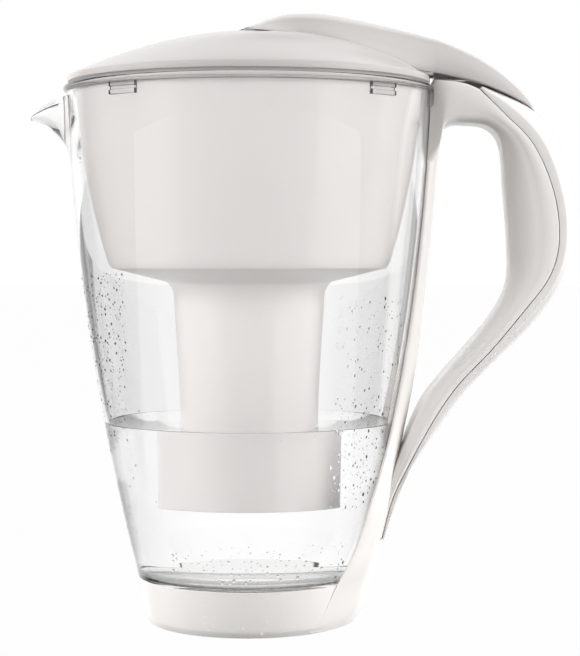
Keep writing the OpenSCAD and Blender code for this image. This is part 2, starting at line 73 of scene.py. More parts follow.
def curve(points: Sequence[Sequence[float]], steps: int) -> np.ndarray:
    """Run a smooth curve through every point of a list.

    Args:
        points: Rows of any number of values.
        steps: How many pieces each stretch between two points is cut into.

    Returns:
        One row for each point of the finer curve.
    """
    p = np.array(points, float)
    last = len(p) - 1
    rows = []
    for k in range(last):
        a, b, c, d = p[max(k - 1, 0)], p[k], p[k + 1], p[min(k + 2, last)]
        for s in range(steps):
            t = s / steps
            rows.append(0.5 * (2 * b + (c - a) * t + (2 * a - 5 * b + 4 * c - d) * t * t
                               + (3 * b - a - 3 * c + d) * t ** 3))
    rows.append(p[last])
    return np.array(rows)


def arc(x: float, z: float, radius: float, start: float, end: float,
        steps: int = 5) -> list[tuple[float, float]]:
    """Return points of an arc.

    Args:
        x: Centre, first coordinate.
        z: Centre, second coordinate.
        radius: Radius of the arc.
        start: Angle of the first point in degrees.
        end: Angle of the last point in degrees.
        steps: Number of pieces.

    Returns:
        The points in order.
    """
    turns = [math.radians(mix(start, end, k / steps)) for k in range(steps + 1)]
    return [(x + radius * math.cos(a), z + radius * math.sin(a)) for a in turns]


def rounded(outline: Sequence[tuple[float, ...]], steps: int = 4) -> list[tuple[float, float]]:
    """Round the corners of an open outline.

    Args:
        outline: Points (r, z) or (r, z, radius); a point without a radius stays sharp.
        steps: Number of pieces in each rounded corner.

    Returns:
        The outline with each corner replaced by a short curve.
    """
    out: list[tuple[float, float]] = []
    for k, point in enumerate(outline):
        here = Vector(point[:2])
        if len(point) < 3 or k in (0, len(outline) - 1):
            out.append((here.x, here.y))
            continue
        before, after = Vector(outline[k - 1][:2]) - here, Vector(outline[k + 1][:2]) - here
        reach = min(point[2], 0.45 * before.length, 0.45 * after.length)
        a, b = here + before.normalized() * reach, here + after.normalized() * reach
        for s in range(steps + 1):
            t = s / steps
            q = a * (1 - t) ** 2 + here * 2 * t * (1 - t) + b * t * t
            out.append((q.x, q.y))
    return out


# Finishes


def linear(colour: str) -> tuple[float, float, float, float]:
    """Turn an sRGB colour into a linear one.

    Args:
        colour: Hex digits such as "f0f0ee".

    Returns:
        Linear RGBA.
    """
    parts = [int(colour[k:k + 2], 16) / 255 for k in (0, 2, 4)]
    r, g, b = [c / 12.92 if c <= 0.04045 else ((c + 0.055) / 1.055) ** 2.4 for c in parts]
    return (r, g, b, 1.0)


def add_node(tree: bpy.types.NodeTree, kind: str, settings: Optional[dict] = None,
             **inputs: object) -> bpy.types.Node:
    """Add a shader node with its settings, values and links.

    Args:
        tree: The node tree.
        kind: The node's type name, without "ShaderNode".
        settings: Attributes of the node.
        inputs: Socket name (spaces as underscores) or in_NUMBER to a value or a socket to link.

    Returns:
        The new node.
    """
    node = tree.nodes.new("ShaderNode" + kind)
    for key, value in (settings or {}).items():
        setattr(node, key, value)
    for key, value in inputs.items():
        socket = node.inputs[int(key[3:])] if key.startswith("in_") else node.inputs[key.replace("_", " ")]
        if isinstance(value, bpy.types.NodeSocket):
            tree.links.new(value, socket)
        else:
            socket.default_value = value
    return node


def new_material(name: str) -> tuple[bpy.types.Material, bpy.types.NodeTree]:
    """Make a material without nodes.

    Args:
        name: Name of the material.

    Returns:
        The material and its node tree.
    """
    material = bpy.data.materials.new(name)
    material.use_nodes = True
    material.node_tree.nodes.clear()
    return material, material.node_tree


# How far the roughness of a moulding drifts over its surface, as a share of its level
GLOSS_DRIFT = 0.06


class Grain(Enum):
    """How the surface of a moulding tool was left, as the strength of its relief."""

    POLISHED = 0.15
    SATIN = 0.5
    FINE = 1.0


@dataclass(frozen=True)
class MouldedPlastic:
    """An opaque or milky thermoplastic as it leaves the mould: an even body, a fine grain, a faint cloud."""

    name: str
    colour: str
    grain: Grain
    roughness: float
    ior: float
    grain_mm: float
    relief_mm: float
    shade: str = ""
    cloud_mm: float = 60.0
    milky: float = 0.0
    depth_mm: float = 2.0

    def build(self) -> bpy.types.Material:
        """Build the material.

        Returns:
            The finished material.
        """
        material, tree = new_material(self.name)
        place = add_node(tree, "TexCoord").outputs["Object"]
        cloud = add_node(tree, "TexNoise", None, Vector=place,
                         Scale=1 / (self.cloud_mm * MM), Detail=2.0, Roughness=0.5)
        fine = add_node(tree, "TexNoise", None, Vector=place,
                        Scale=1 / (self.grain_mm * MM), Detail=3.0, Roughness=0.55)
        tone = add_node(tree, "Mix", {"data_type": "RGBA"}, in_0=cloud.outputs["Fac"],
                        in_6=linear(self.colour), in_7=linear(self.shade or self.colour))
        gloss = add_node(tree, "MapRange", None, Value=cloud.outputs["Fac"],
                         To_Min=self.roughness * (1 - GLOSS_DRIFT), To_Max=self.roughness * (1 + GLOSS_DRIFT))
        relief = add_node(tree, "Bump", None, Height=fine.outputs["Fac"],
                          Strength=self.grain.value, Distance=self.relief_mm * MM)
        body = add_node(tree, "BsdfPrincipled", None, Base_Color=tone.outputs[2],
                        Roughness=gloss.outputs["Result"], IOR=self.ior, Normal=relief.outputs["Normal"])
        if self.milky:
            body.inputs["Subsurface Weight"].default_value = self.milky
            body.inputs["Subsurface Radius"].default_value = (1.0, 0.97, 0.92)
            body.inputs["Subsurface Scale"].default_value = self.depth_mm * MM
        add_node(tree, "OutputMaterial", None, Surface=body.outputs[0])
        return material


@dataclass(frozen=True)
class ClearBody:
    """A clear solid or liquid that throws no dark shadow."""

    name: str
    colour: str
    ior: float
    roughness: float
    wave_mm: float
    wave_height_mm: float
    smoke: str = ""
    smoke_density: float = 0.0

    def build(self) -> bpy.types.Material:
        """Build the material.

        Returns:
            The finished material.
        """
        material, tree = new_material(self.name)
        place = add_node(tree, "TexCoord").outputs["Object"]
        wave = add_node(tree, "TexNoise", None, Vector=place,
                        Scale=1 / (self.wave_mm * MM), Detail=1.0)
        relief = add_node(tree, "Bump", None, Height=wave.outputs["Fac"], Strength=1.0,
                          Distance=self.wave_height_mm * MM)
        clear = add_node(tree, "BsdfPrincipled", None, Base_Color=linear(self.colour),
                         Roughness=self.roughness, IOR=self.ior, Transmission_Weight=1.0,
                         Normal=relief.outputs["Normal"])
        through = add_node(tree, "BsdfTransparent", None, Color=linear(self.colour))
        path = add_node(tree, "LightPath")
        both = add_node(tree, "MixShader", None, in_0=path.outputs["Is Shadow Ray"],
                        in_1=clear.outputs[0], in_2=through.outputs[0])
        output = add_node(tree, "OutputMaterial", None, Surface=both.outputs[0])
        if self.smoke_density:
            smoke = add_node(tree, "VolumeAbsorption", None, Color=linear(self.smoke),
                             Density=self.smoke_density)
            tree.links.new(smoke.outputs[0], output.inputs["Volume"])
        return material


@dataclass(frozen=True)
class WovenMesh:
    """A woven filter cloth of polymer thread."""

    name: str
    colour: str
    gap_colour: str
    thread_mm: float

    def build(self) -> bpy.types.Material:
        """Build the material.

        Returns:
            The finished material.
        """
        material, tree = new_material(self.name)
        place = add_node(tree, "TexCoord").outputs["Object"]
        weft, warp = [add_node(tree, "TexWave", {"bands_direction": axis}, Vector=place,
                               Scale=0.5 / (self.thread_mm * MM) / math.pi).outputs["Fac"] for axis in "XY"]
        weave = add_node(tree, "Math", {"operation": "MAXIMUM"}, in_0=weft, in_1=warp)
        tone = add_node(tree, "Mix", {"data_type": "RGBA"}, in_0=weave.outputs[0],
                        in_6=linear(self.gap_colour), in_7=linear(self.colour))
        relief = add_node(tree, "Bump", None, Height=weave.outputs[0], Strength=0.8,
                          Distance=self.thread_mm * MM)
        body = add_node(tree, "BsdfPrincipled", None, Base_Color=tone.outputs[2], Roughness=0.6,
                        IOR=1.53, Normal=relief.outputs["Normal"])
        add_node(tree, "OutputMaterial", None, Surface=body.outputs[0])
        return material


@dataclass(frozen=True)
class Granules:
    """Loose grains of activated carbon and pale ion exchange resin."""

    name: str
    dark: str
    pale: str
    dark_share: float
    grain_mm: float

    def build(self) -> bpy.types.Material:
        """Build the material.

        Returns:
            The finished material.
        """
        material, tree = new_material(self.name)
        place = add_node(tree, "TexCoord").outputs["Object"]
        grains = add_node(tree, "TexVoronoi", {"feature": "F1"}, Vector=place,
                          Scale=1 / (self.grain_mm * MM))
        which = add_node(tree, "SeparateColor", None, Color=grains.outputs["Color"])
        pick = add_node(tree, "Math", {"operation": "GREATER_THAN"}, in_0=which.outputs[0],
                        in_1=self.dark_share)
        tone = add_node(tree, "Mix", {"data_type": "RGBA"}, in_0=pick.outputs[0],
                        in_6=linear(self.dark), in_7=linear(self.pale))
        relief = add_node(tree, "Bump", {"invert": True}, Height=grains.outputs["Distance"], Strength=1.0,
                          Distance=self.grain_mm * MM)
        body = add_node(tree, "BsdfPrincipled", None, Base_Color=tone.outputs[2], Roughness=0.75,
                        Normal=relief.outputs["Normal"])
        add_node(tree, "OutputMaterial", None, Surface=body.outputs[0])
        return material


@dataclass(frozen=True)
class GroundSteel:
    """Stainless steel wire, ground along its length: fine lines that all run one way."""

    name: str
    colour: str
    scratch_mm: float
    gloss: tuple = (0.22, 0.42)

    def build(self) -> bpy.types.Material:
        """Build the material.

        Returns:
            The finished material.
        """
        material, tree = new_material(self.name)
        place = add_node(tree, "TexCoord").outputs["Object"]
        along = add_node(tree, "Mapping", None, Vector=place, Scale=(1.0, 0.05, 1.0))
        lines = add_node(tree, "TexNoise", None, Vector=along.outputs[0], Scale=1 / (self.scratch_mm * MM))
        gloss = add_node(tree, "MapRange", None, Value=lines.outputs["Fac"],
                         To_Min=self.gloss[0], To_Max=self.gloss[1])
        body = add_node(tree, "BsdfPrincipled", None, Base_Color=linear(self.colour), Metallic=1.0,
                        Roughness=gloss.outputs["Result"])
        add_node(tree, "OutputMaterial", None, Surface=body.outputs[0])
        return material


@dataclass
class Finishes:
    """Every material of the jug, made once."""

    # Styrene-acrylonitrile (SAN), injection moulded in a polished tool: clear as glass, faintly grey in depth
    clear_san: ClearBody = ClearBody("clear_san_polished", "ffffff", ior=1.57, roughness=0.012, wave_mm=40.0,
                                     wave_height_mm=0.01, smoke="b8bcbe", smoke_density=2.5)
    # ABS, moulded with a satin gloss: even white with broad soft highlights
    white_abs: MouldedPlastic = MouldedPlastic("white_abs_satin", "f5f2ef", Grain.SATIN, roughness=0.26,
                                               ior=1.53, grain_mm=0.7, relief_mm=0.02, shade="f3f0ed")
    # ABS from a polished tool, for the cover that the palm lies on: the same white with sharper highlights
    crown_abs: MouldedPlastic = MouldedPlastic("white_abs_polished", "f3f0ed", Grain.POLISHED, roughness=0.18,
                                               ior=1.53, grain_mm=0.9, relief_mm=0.02, shade="f0edea")
    # ABS of the lid and flap: the white ABS darkened to a grey as painted shade, which stands for the dimmer
    # light on the lid, with the slight orange peel of a large flat moulding
    lid_abs: MouldedPlastic = MouldedPlastic("white_abs_lid_gloss_painted_shade", "c7c3c1", Grain.SATIN, roughness=0.2,
                                             ior=1.53, grain_mm=1.2, relief_mm=0.025, shade="c4c0be")
    # Polypropylene, moulded about 2 mm thick: milky, so light bleeds a little way through it
    milky_pp: MouldedPlastic = MouldedPlastic("milky_pp_moulded", "ebe7e5", Grain.SATIN, roughness=0.3,
                                              ior=1.49, grain_mm=0.8, relief_mm=0.02, shade="e9e5e3",
                                              cloud_mm=45.0, milky=0.25, depth_mm=2.0)
    # Polypropylene of the cartridge: whiter and duller than the hopper
    cartridge_pp: MouldedPlastic = MouldedPlastic("cartridge_pp_matt", "e6e6e3", Grain.FINE, roughness=0.42,
                                                  ior=1.49, grain_mm=0.5, relief_mm=0.03, shade="e0e0dd")
    # Moulded thermoplastic rubber: pale grey and dull, with a fine tooth
    foot_rubber: MouldedPlastic = MouldedPlastic("foot_tpe_dull", "c9c9c7", Grain.FINE, roughness=0.7,
                                                 ior=1.5, grain_mm=0.4, relief_mm=0.04, shade="c2c2c0")
    # Silicone rubber of the seal: slightly cloudy, satin
    silicone: MouldedPlastic = MouldedPlastic("seal_silicone_satin", "dddcd6", Grain.SATIN, roughness=0.45,
                                              ior=1.41, grain_mm=0.6, relief_mm=0.02, shade="d6d5cf",
                                              cloud_mm=30.0, milky=0.2, depth_mm=1.0)
    # Nylon filter cloth, plain weave: pale threads over grey gaps, drawn coarse enough to show
    cloth: WovenMesh = WovenMesh("filter_cloth_woven", "dcdcd8", "6f706e", thread_mm=0.6)
    # Filter filling: black carbon and amber-white resin beads about 1 mm across
    filling: Granules = Granules("filter_granules_loose", "1e1c1a", "cdbf9c", dark_share=0.6, grain_mm=1.1)
    # Stainless steel pin: a thin grey line with a streaky shine
    steel: GroundSteel = GroundSteel("pin_steel_ground", "c8c8c6", scratch_mm=0.15)
    # Still drinking water: clear, seen by what it bends and mirrors
    water: ClearBody = ClearBody("water_still", "ffffff", ior=1.333, roughness=0.0, wave_mm=60.0,
                                 wave_height_mm=0.0)
    made: dict = field(default_factory=dict)

    def get(self, name: str) -> bpy.types.Material:
        """Find a material, which is built on its first use.

        Args:
            name: Name of its field.

        Returns:
            The material.
        """
        if name not in self.made:
            self.made[name] = getattr(self, name).build()
        return self.made[name]


# Meshes


class Skin:
    """A mesh in the making: grids of points that are welded where they meet."""

    def __init__(self) -> None:
        """Start without points."""
        self.points: list[np.ndarray] = []
        self.faces: list[tuple[int, ...]] = []
        self.count = 0

    def add(self, points: np.ndarray) -> int:
        """Add points.

        Args:
            points: The points as (n, 3).

        Returns:
            The number of the first.
        """
        start = self.count
        self.points.append(np.asarray(points, float).reshape(-1, 3))
        self.count += len(self.points[-1])
        return start

    def grid(self, rows: np.ndarray, wrap: bool = False,
             skip: Optional[Callable[[int, int], bool]] = None) -> None:
        """Add a grid of quads.

        Args:
            rows: Points as (rows, columns, 3).
            wrap: Whether the last column joins the first.
            skip: Tells by row and column which quads to leave out.
        """
        n, m = rows.shape[:2]
        start = self.add(rows)
        for i in range(n - 1):
            for j in range(m if wrap else m - 1):
                if skip and skip(i, j):
                    continue
                k = (j + 1) % m
                self.faces.append((start + i * m + j, start + i * m + k,
                                   start + (i + 1) * m + k, start + (i + 1) * m + j))

    def cap(self, loop: np.ndarray) -> None:
        """Close a loop of points with one face."""
        start = self.add(loop)
        self.faces.append(tuple(range(start, start + len(loop))))

    def bar(self, rows: Sequence) -> None:
        """Add a closed bar with a face at either end.

        Args:
            rows: Rows of points, each all round the bar.
        """
        rows = np.array(rows)
        self.grid(rows, True)
        self.cap(rows[0])
        self.cap(rows[-1])

    def lathe(self, outline: Sequence[tuple[float, float]], columns: int = 160) -> None:
        """Turn an outline around the Z axis.

        Args:
            outline: Points (r, z).
            columns: Number of steps around.
        """
        turns = np.linspace(0, 2 * math.pi, columns, endpoint=False)
        self.grid(np.array([[(-r * math.cos(a), r * math.sin(a), z) for a in turns]
                            for r, z in outline]), True)

    def closed_sheet(self, upper: np.ndarray, lower: np.ndarray) -> None:
        """Add a closed sheet between two grids.

        Args:
            upper: Points of one side as (rows, columns, 3).
            lower: Points of the other side, as many.
        """
        self.grid(upper)
        self.grid(lower)
        for edge in (np.array([upper[0], lower[0]]), np.array([upper[-1], lower[-1]]),
                     np.array([upper[:, 0], lower[:, 0]]), np.array([upper[:, -1], lower[:, -1]])):
            self.grid(edge)

    def make(self, name: str, angle: float = 35.0, weld: float = 0.002) -> bpy.types.Object:
        """Weld the points, point the faces outwards and return the object.

        Args:
            name: Name of the object.
            angle: Edges sharper than this many degrees stay sharp.
            weld: Points closer than this many millimetres become one.

        Returns:
            The object, linked to the scene.
        """
        mesh = bpy.data.meshes.new(name)
        mesh.from_pydata((np.concatenate(self.points) * MM).tolist(), [], self.faces)
        bm = bmesh.new()
        bm.from_mesh(mesh)
        bmesh.ops.remove_doubles(bm, verts=bm.verts, dist=weld * MM)
        bmesh.ops.dissolve_degenerate(bm, edges=bm.edges, dist=weld * MM / 2)
        bmesh.ops.recalc_face_normals(bm, faces=bm.faces)
        for face in bm.faces:
            face.smooth = True
        bm.to_mesh(mesh)
        bm.free()
        mesh.set_sharp_from_angle(angle=math.radians(angle))
        made = bpy.data.objects.new(name, mesh)
        bpy.context.scene.collection.objects.link(made)
        return made


def cut(target: bpy.types.Object, tool: bpy.types.Object, operation: str = "DIFFERENCE") -> None:
    """Cut one object out of another, or join the two, and remove the first.

    Args:
        target: The object that stays.
        tool: The object that is used up.
        operation: The boolean operation.
    """
    step = target.modifiers.new("cut", "BOOLEAN")
    step.operation, step.object, step.solver = operation, tool, "EXACT"
    depsgraph = bpy.context.evaluated_depsgraph_get()
    mesh = bpy.data.meshes.new_from_object(target.evaluated_get(depsgraph))
    target.modifiers.clear()
    target.data = mesh
    bpy.data.objects.remove(tool)


def dress(piece: bpy.types.Object, body: str, nodes: Sequence[str],
          material: bpy.types.Material) -> bpy.types.Object:
    """Give a new piece its body, the CAD nodes it stands for and its material.

    Args:
        piece: The object.
        body: The CAD body it rides on.
        nodes: The CAD nodes it replaces.
        material: The material.

    Returns:
        The piece.
    """
    piece.data.materials.clear()
    piece.data.materials.append(material)
    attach(piece, body)
    if nodes:
        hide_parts(*nodes)
    LOG.info("%s: %d faces, rides on %s", piece.name, len(piece.data.polygons), body)
    return piece


def dress_node(node: str, material: bpy.types.Material) -> None:
    """Give a CAD node that stays in view its material.

    Args:
        node: Name of the node.
        material: The material.
    """
    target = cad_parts[node]
    target.data.materials.clear()
    target.data.materials.append(material)
    LOG.info("%s: keeps its CAD shape", node)


# Jug


@dataclass
class Jug:
    """The clear shell: a conical wall that bows out, a rim flange, a beak and four catches."""

    height: float = 242.4
    r_low: float = 50.5
    r_top: float = 82.1
    bow: float = 6.0
    cup_h: float = 21.6
    wall: float = 2.6
    floor_z: float = 22.9
    spigot_r: float = 47.8
    spigot_z: float = 20.4
    flange_h: float = 2.8
    flange_r: float = 83.6
    rim_r_in: float = 80.6
    beak_reach: float = 18.3
    beak_half_w: float = 18.0
    beak_wall: float = 2.4
    beak_tip_wall: float = 1.0
    columns: int = 192
    # Columns and rows of the wall's square field that holds the beak, and how far it reaches below the rim
    patch_columns: int = 13
    patch_rows: int = 12
    patch_drop: float = 50.0
    wall_rows: int = 44
    catch_h: float = 5.3
    catch_w: float = 15.3
    # Angles of the catches from the handle line
    catch_turns: tuple = (45.0, 129.0, 231.0, 315.0)
    # Rows of the beak from the wall to its tip: share of the reach, drop of the lips, drop of the keel,
    # share of the half width
    beak_rows: tuple = ((0, 4.6, 37, 1), (0.04, 4.7, 32, 0.98), (0.21, 5.4, 25.6, 0.84), (0.4, 6.6, 21, 0.66),
                        (0.68, 9.2, 17.4, 0.4), (1, 13.2, 14.9, 0.12))

    @property
    def ledge_z(self) -> float:
        """Height of the ledge that the hopper hangs on."""
        return self.height - self.flange_h

    def wall_r(self, z: float) -> float:
        """Outer radius of the wall at height z."""
        t = (z - self.cup_h) / (self.height - self.cup_h)
        return mix(self.r_low, self.r_top, t) + 4 * self.bow * t * (1 - t)

    def turn(self, column: int) -> float:
        """Angle of a column from the beak, in radians."""
        return 2 * math.pi * column / self.columns

    def on_wall(self, turn: float, z: float, inset: float) -> tuple[float, float, float]:
        """Point of the wall at that angle from the beak, that height and that depth."""
        r = self.wall_r(z) - inset
        return (-r * math.cos(turn), r * math.sin(turn), z)

    def bottom(self, grow: float) -> list[tuple[float, float]]:
        """Return the inside's rounded bottom.

        Args:
            grow: How far it is grown into the wall and the floor.

        Returns:
            Points (r, z) from the wall to the middle.
        """
        wall, floor = self.wall_r(self.floor_z + 4) - self.wall + grow, self.floor_z - grow
        return [(wall, floor + 4), (wall - 0.7, floor + 2), (wall - 2, floor + 0.7), (wall - 4, floor + 0.1),
                (wall - 6, floor), (0, floor)]

    def beak_row(self, row: Sequence[float], inner: bool) -> np.ndarray:
        """Return one row of the beak from its +Y lip by way of its keel to its -Y lip.

        Args:
            row: Share of the reach, drop of the lips, drop of the keel, share of the half width.
            inner: Whether the row is on the inside.

        Returns:
            The points of the row.
        """
        share, lip, keel, width = row
        inset = mix(self.beak_wall, self.beak_tip_wall, share) if inner else 0.0
        near = min(1.0, share / 0.15) * self.wall / 2
        points = []
        count = 2 * (self.patch_columns + self.patch_rows)
        for k in range(count + 1):
            a = math.pi / 2 * (1 - 2 * k / count)
            y = (width * self.beak_half_w - inset) * math.sin(a)
            z = self.height - mix(lip, keel - inset, max(math.cos(a), 0.0) ** 0.8)
            r = self.wall_r(z) - (self.wall - near if inner else near)
            points.append((-math.sqrt(r * r - y * y) - share * self.beak_reach, y, z))
        return np.array(points)

    def window(self, inner: bool) -> np.ndarray:
        """Return the closed loop of the beak's opening in the wall.

        Args:
            inner: Whether the loop is on the inside.

        Returns:
            The points of the top edge, then of the beak's first row.
        """
        first = self.beak_row(self.beak_rows[0], inner)
        half_w = first[0][1]
        z = self.height - self.beak_rows[0][1]
        r = self.wall_r(z) - (self.wall if inner else 0.0)
        ys = np.linspace(-half_w, half_w, 2 * self.patch_columns + 1)[:-1]
        top = [(-math.sqrt(r * r - y * y), y, z) for y in ys]
        return np.concatenate([top, first[:-1]])

    def patch(self, inner: bool) -> np.ndarray:
        """Return the wall around the beak's opening.

        Args:
            inner: Whether it is the inside.

        Returns:
            Rings of points that lead from the opening to the square field's edge.
        """
        inset = self.wall if inner else 0.0
        n, m = self.patch_columns, self.patch_rows
        low, high = self.height - self.patch_drop, self.ledge_z
        edge = [(self.turn(j), high) for j in range(-n, n)]
        edge += [(self.turn(n), mix(high, low, i / m)) for i in range(m)]
        edge += [(self.turn(j), low) for j in range(n, -n, -1)]
        edge += [(self.turn(-n), mix(low, high, i / m)) for i in range(m)]
        hole = [(math.asin(y / (self.wall_r(z) - inset)), z) for x, y, z in self.window(inner)]
        rings = []
        for t in (0, 0.06, 0.14, 0.25, 0.4, 0.6, 0.8, 1):
            rings.append([self.on_wall(mix(h[0], e[0], t), mix(h[1], e[1], t), inset)
                          for h, e in zip(hole, edge)])
        return np.array(rings)

    def side(self, skin: Skin, inner: bool) -> tuple[np.ndarray, np.ndarray]:
        """Add one side of the wall with its beak.

        Args:
            skin: The mesh in the making.
            inner: Whether it is the inside.

        Returns:
            The beak's grid and the window's loop.
        """
        inset = self.wall if inner else 0.0
        patch_low = self.height - self.patch_drop
        low = self.floor_z + 4 if inner else self.cup_h
        heights = [mix(low, patch_low, k / self.wall_rows) for k in range(self.wall_rows)]
        heights += [mix(patch_low, self.ledge_z, k / self.patch_rows) for k in range(self.patch_rows + 1)]
        field_columns = list(range(-self.patch_columns, self.columns - self.patch_columns))
        rows = np.array([[self.on_wall(self.turn(j), z, inset) for j in field_columns] for z in heights])
        skin.grid(rows, True, lambda i, j: i >= self.wall_rows and j < 2 * self.patch_columns)
        skin.grid(self.patch(inner), True)
        beak = np.array([self.beak_row(row, inner) for row in curve(self.beak_rows, 5)])
        skin.grid(beak)
        return beak, self.window(inner)

    def mouth(self, beak: np.ndarray, window: np.ndarray) -> np.ndarray:
        """Return the loop around the beak's open top: edge of the opening, lips and tip."""
        top = window[:2 * self.patch_columns]
        return np.concatenate([top, beak[:-1, 0], beak[-1, :-1], beak[:0:-1, -1]])

    def catch(self, skin: Skin, middle: float) -> None:
        """Add one catch under the flange, a small block with a slot.

        Args:
            skin: The mesh in the making.
            middle: Angle of its middle from the handle line, in degrees.
        """
        half = self.catch_w / self.flange_r / 2
        top, low = self.ledge_z + 0.02, self.ledge_z - self.catch_h
        front, slot, sunk = self.flange_r - 0.4, self.flange_r - 1.3, 0.6
        outline = rounded([(self.wall_r(low) - sunk, low), (front, low, 0.5), (front, low + 2.0, 0.3),
                           (slot, low + 2.2), (slot, low + 3.2), (front, low + 3.4, 0.3), (front, top),
                           (self.wall_r(top) - sunk, top)], 3)
        turns = [math.radians(middle) + half * s for s in (-1, -0.97, -0.9, -0.5, 0, 0.5, 0.9, 0.97, 1)]
        shrink = (0.5, 0.15, 0, 0, 0, 0, 0, 0.15, 0.5)
        skin.bar([[((r - s) * math.cos(a), (r - s) * math.sin(a), z) for r, z in outline]
                  for a, s in zip(turns, shrink)])

    def build(self, finishes: Finishes) -> None:
        """Build the shell.

        Args:
            finishes: The materials.
        """
        skin = Skin()
        outer, outer_window = self.side(skin, False)
        inner, inner_window = self.side(skin, True)
        loops = [self.mouth(outer, outer_window), self.mouth(inner, inner_window)]
        skin.grid(np.array(loops), True)
        wall_top = self.wall_r(self.ledge_z)
        bead = self.flange_h / 2
        rim = [(wall_top, self.ledge_z), (wall_top + 0.15, self.ledge_z + 0.02)]
        rim += arc(self.flange_r - bead, self.ledge_z + bead, bead, -85, 90, 8)
        rim += [(self.rim_r_in + 0.6, self.height), (self.rim_r_in + 0.15, self.height - 0.15),
                (self.rim_r_in, self.height - 0.6), (self.rim_r_in, self.ledge_z + 0.15),
                (self.rim_r_in - 0.15, self.ledge_z), (wall_top - self.wall, self.ledge_z)]
        base = [(self.r_low, self.cup_h), (self.spigot_r + 0.2, self.cup_h),
                (self.spigot_r, self.cup_h - 0.2), (self.spigot_r, self.spigot_z + 0.4),
                (self.spigot_r - 0.4, self.spigot_z), (0, self.spigot_z)]
        for outline in (rim, base, self.bottom(0.0)):
            skin.lathe(outline, self.columns)
        for turn in self.catch_turns:
            self.catch(skin, turn)
        dress(skin.make("clear_jug_shell", 75), "jug_body", ["jug"], finishes.get("clear_san"))


# Base cup, strap, grip and spine


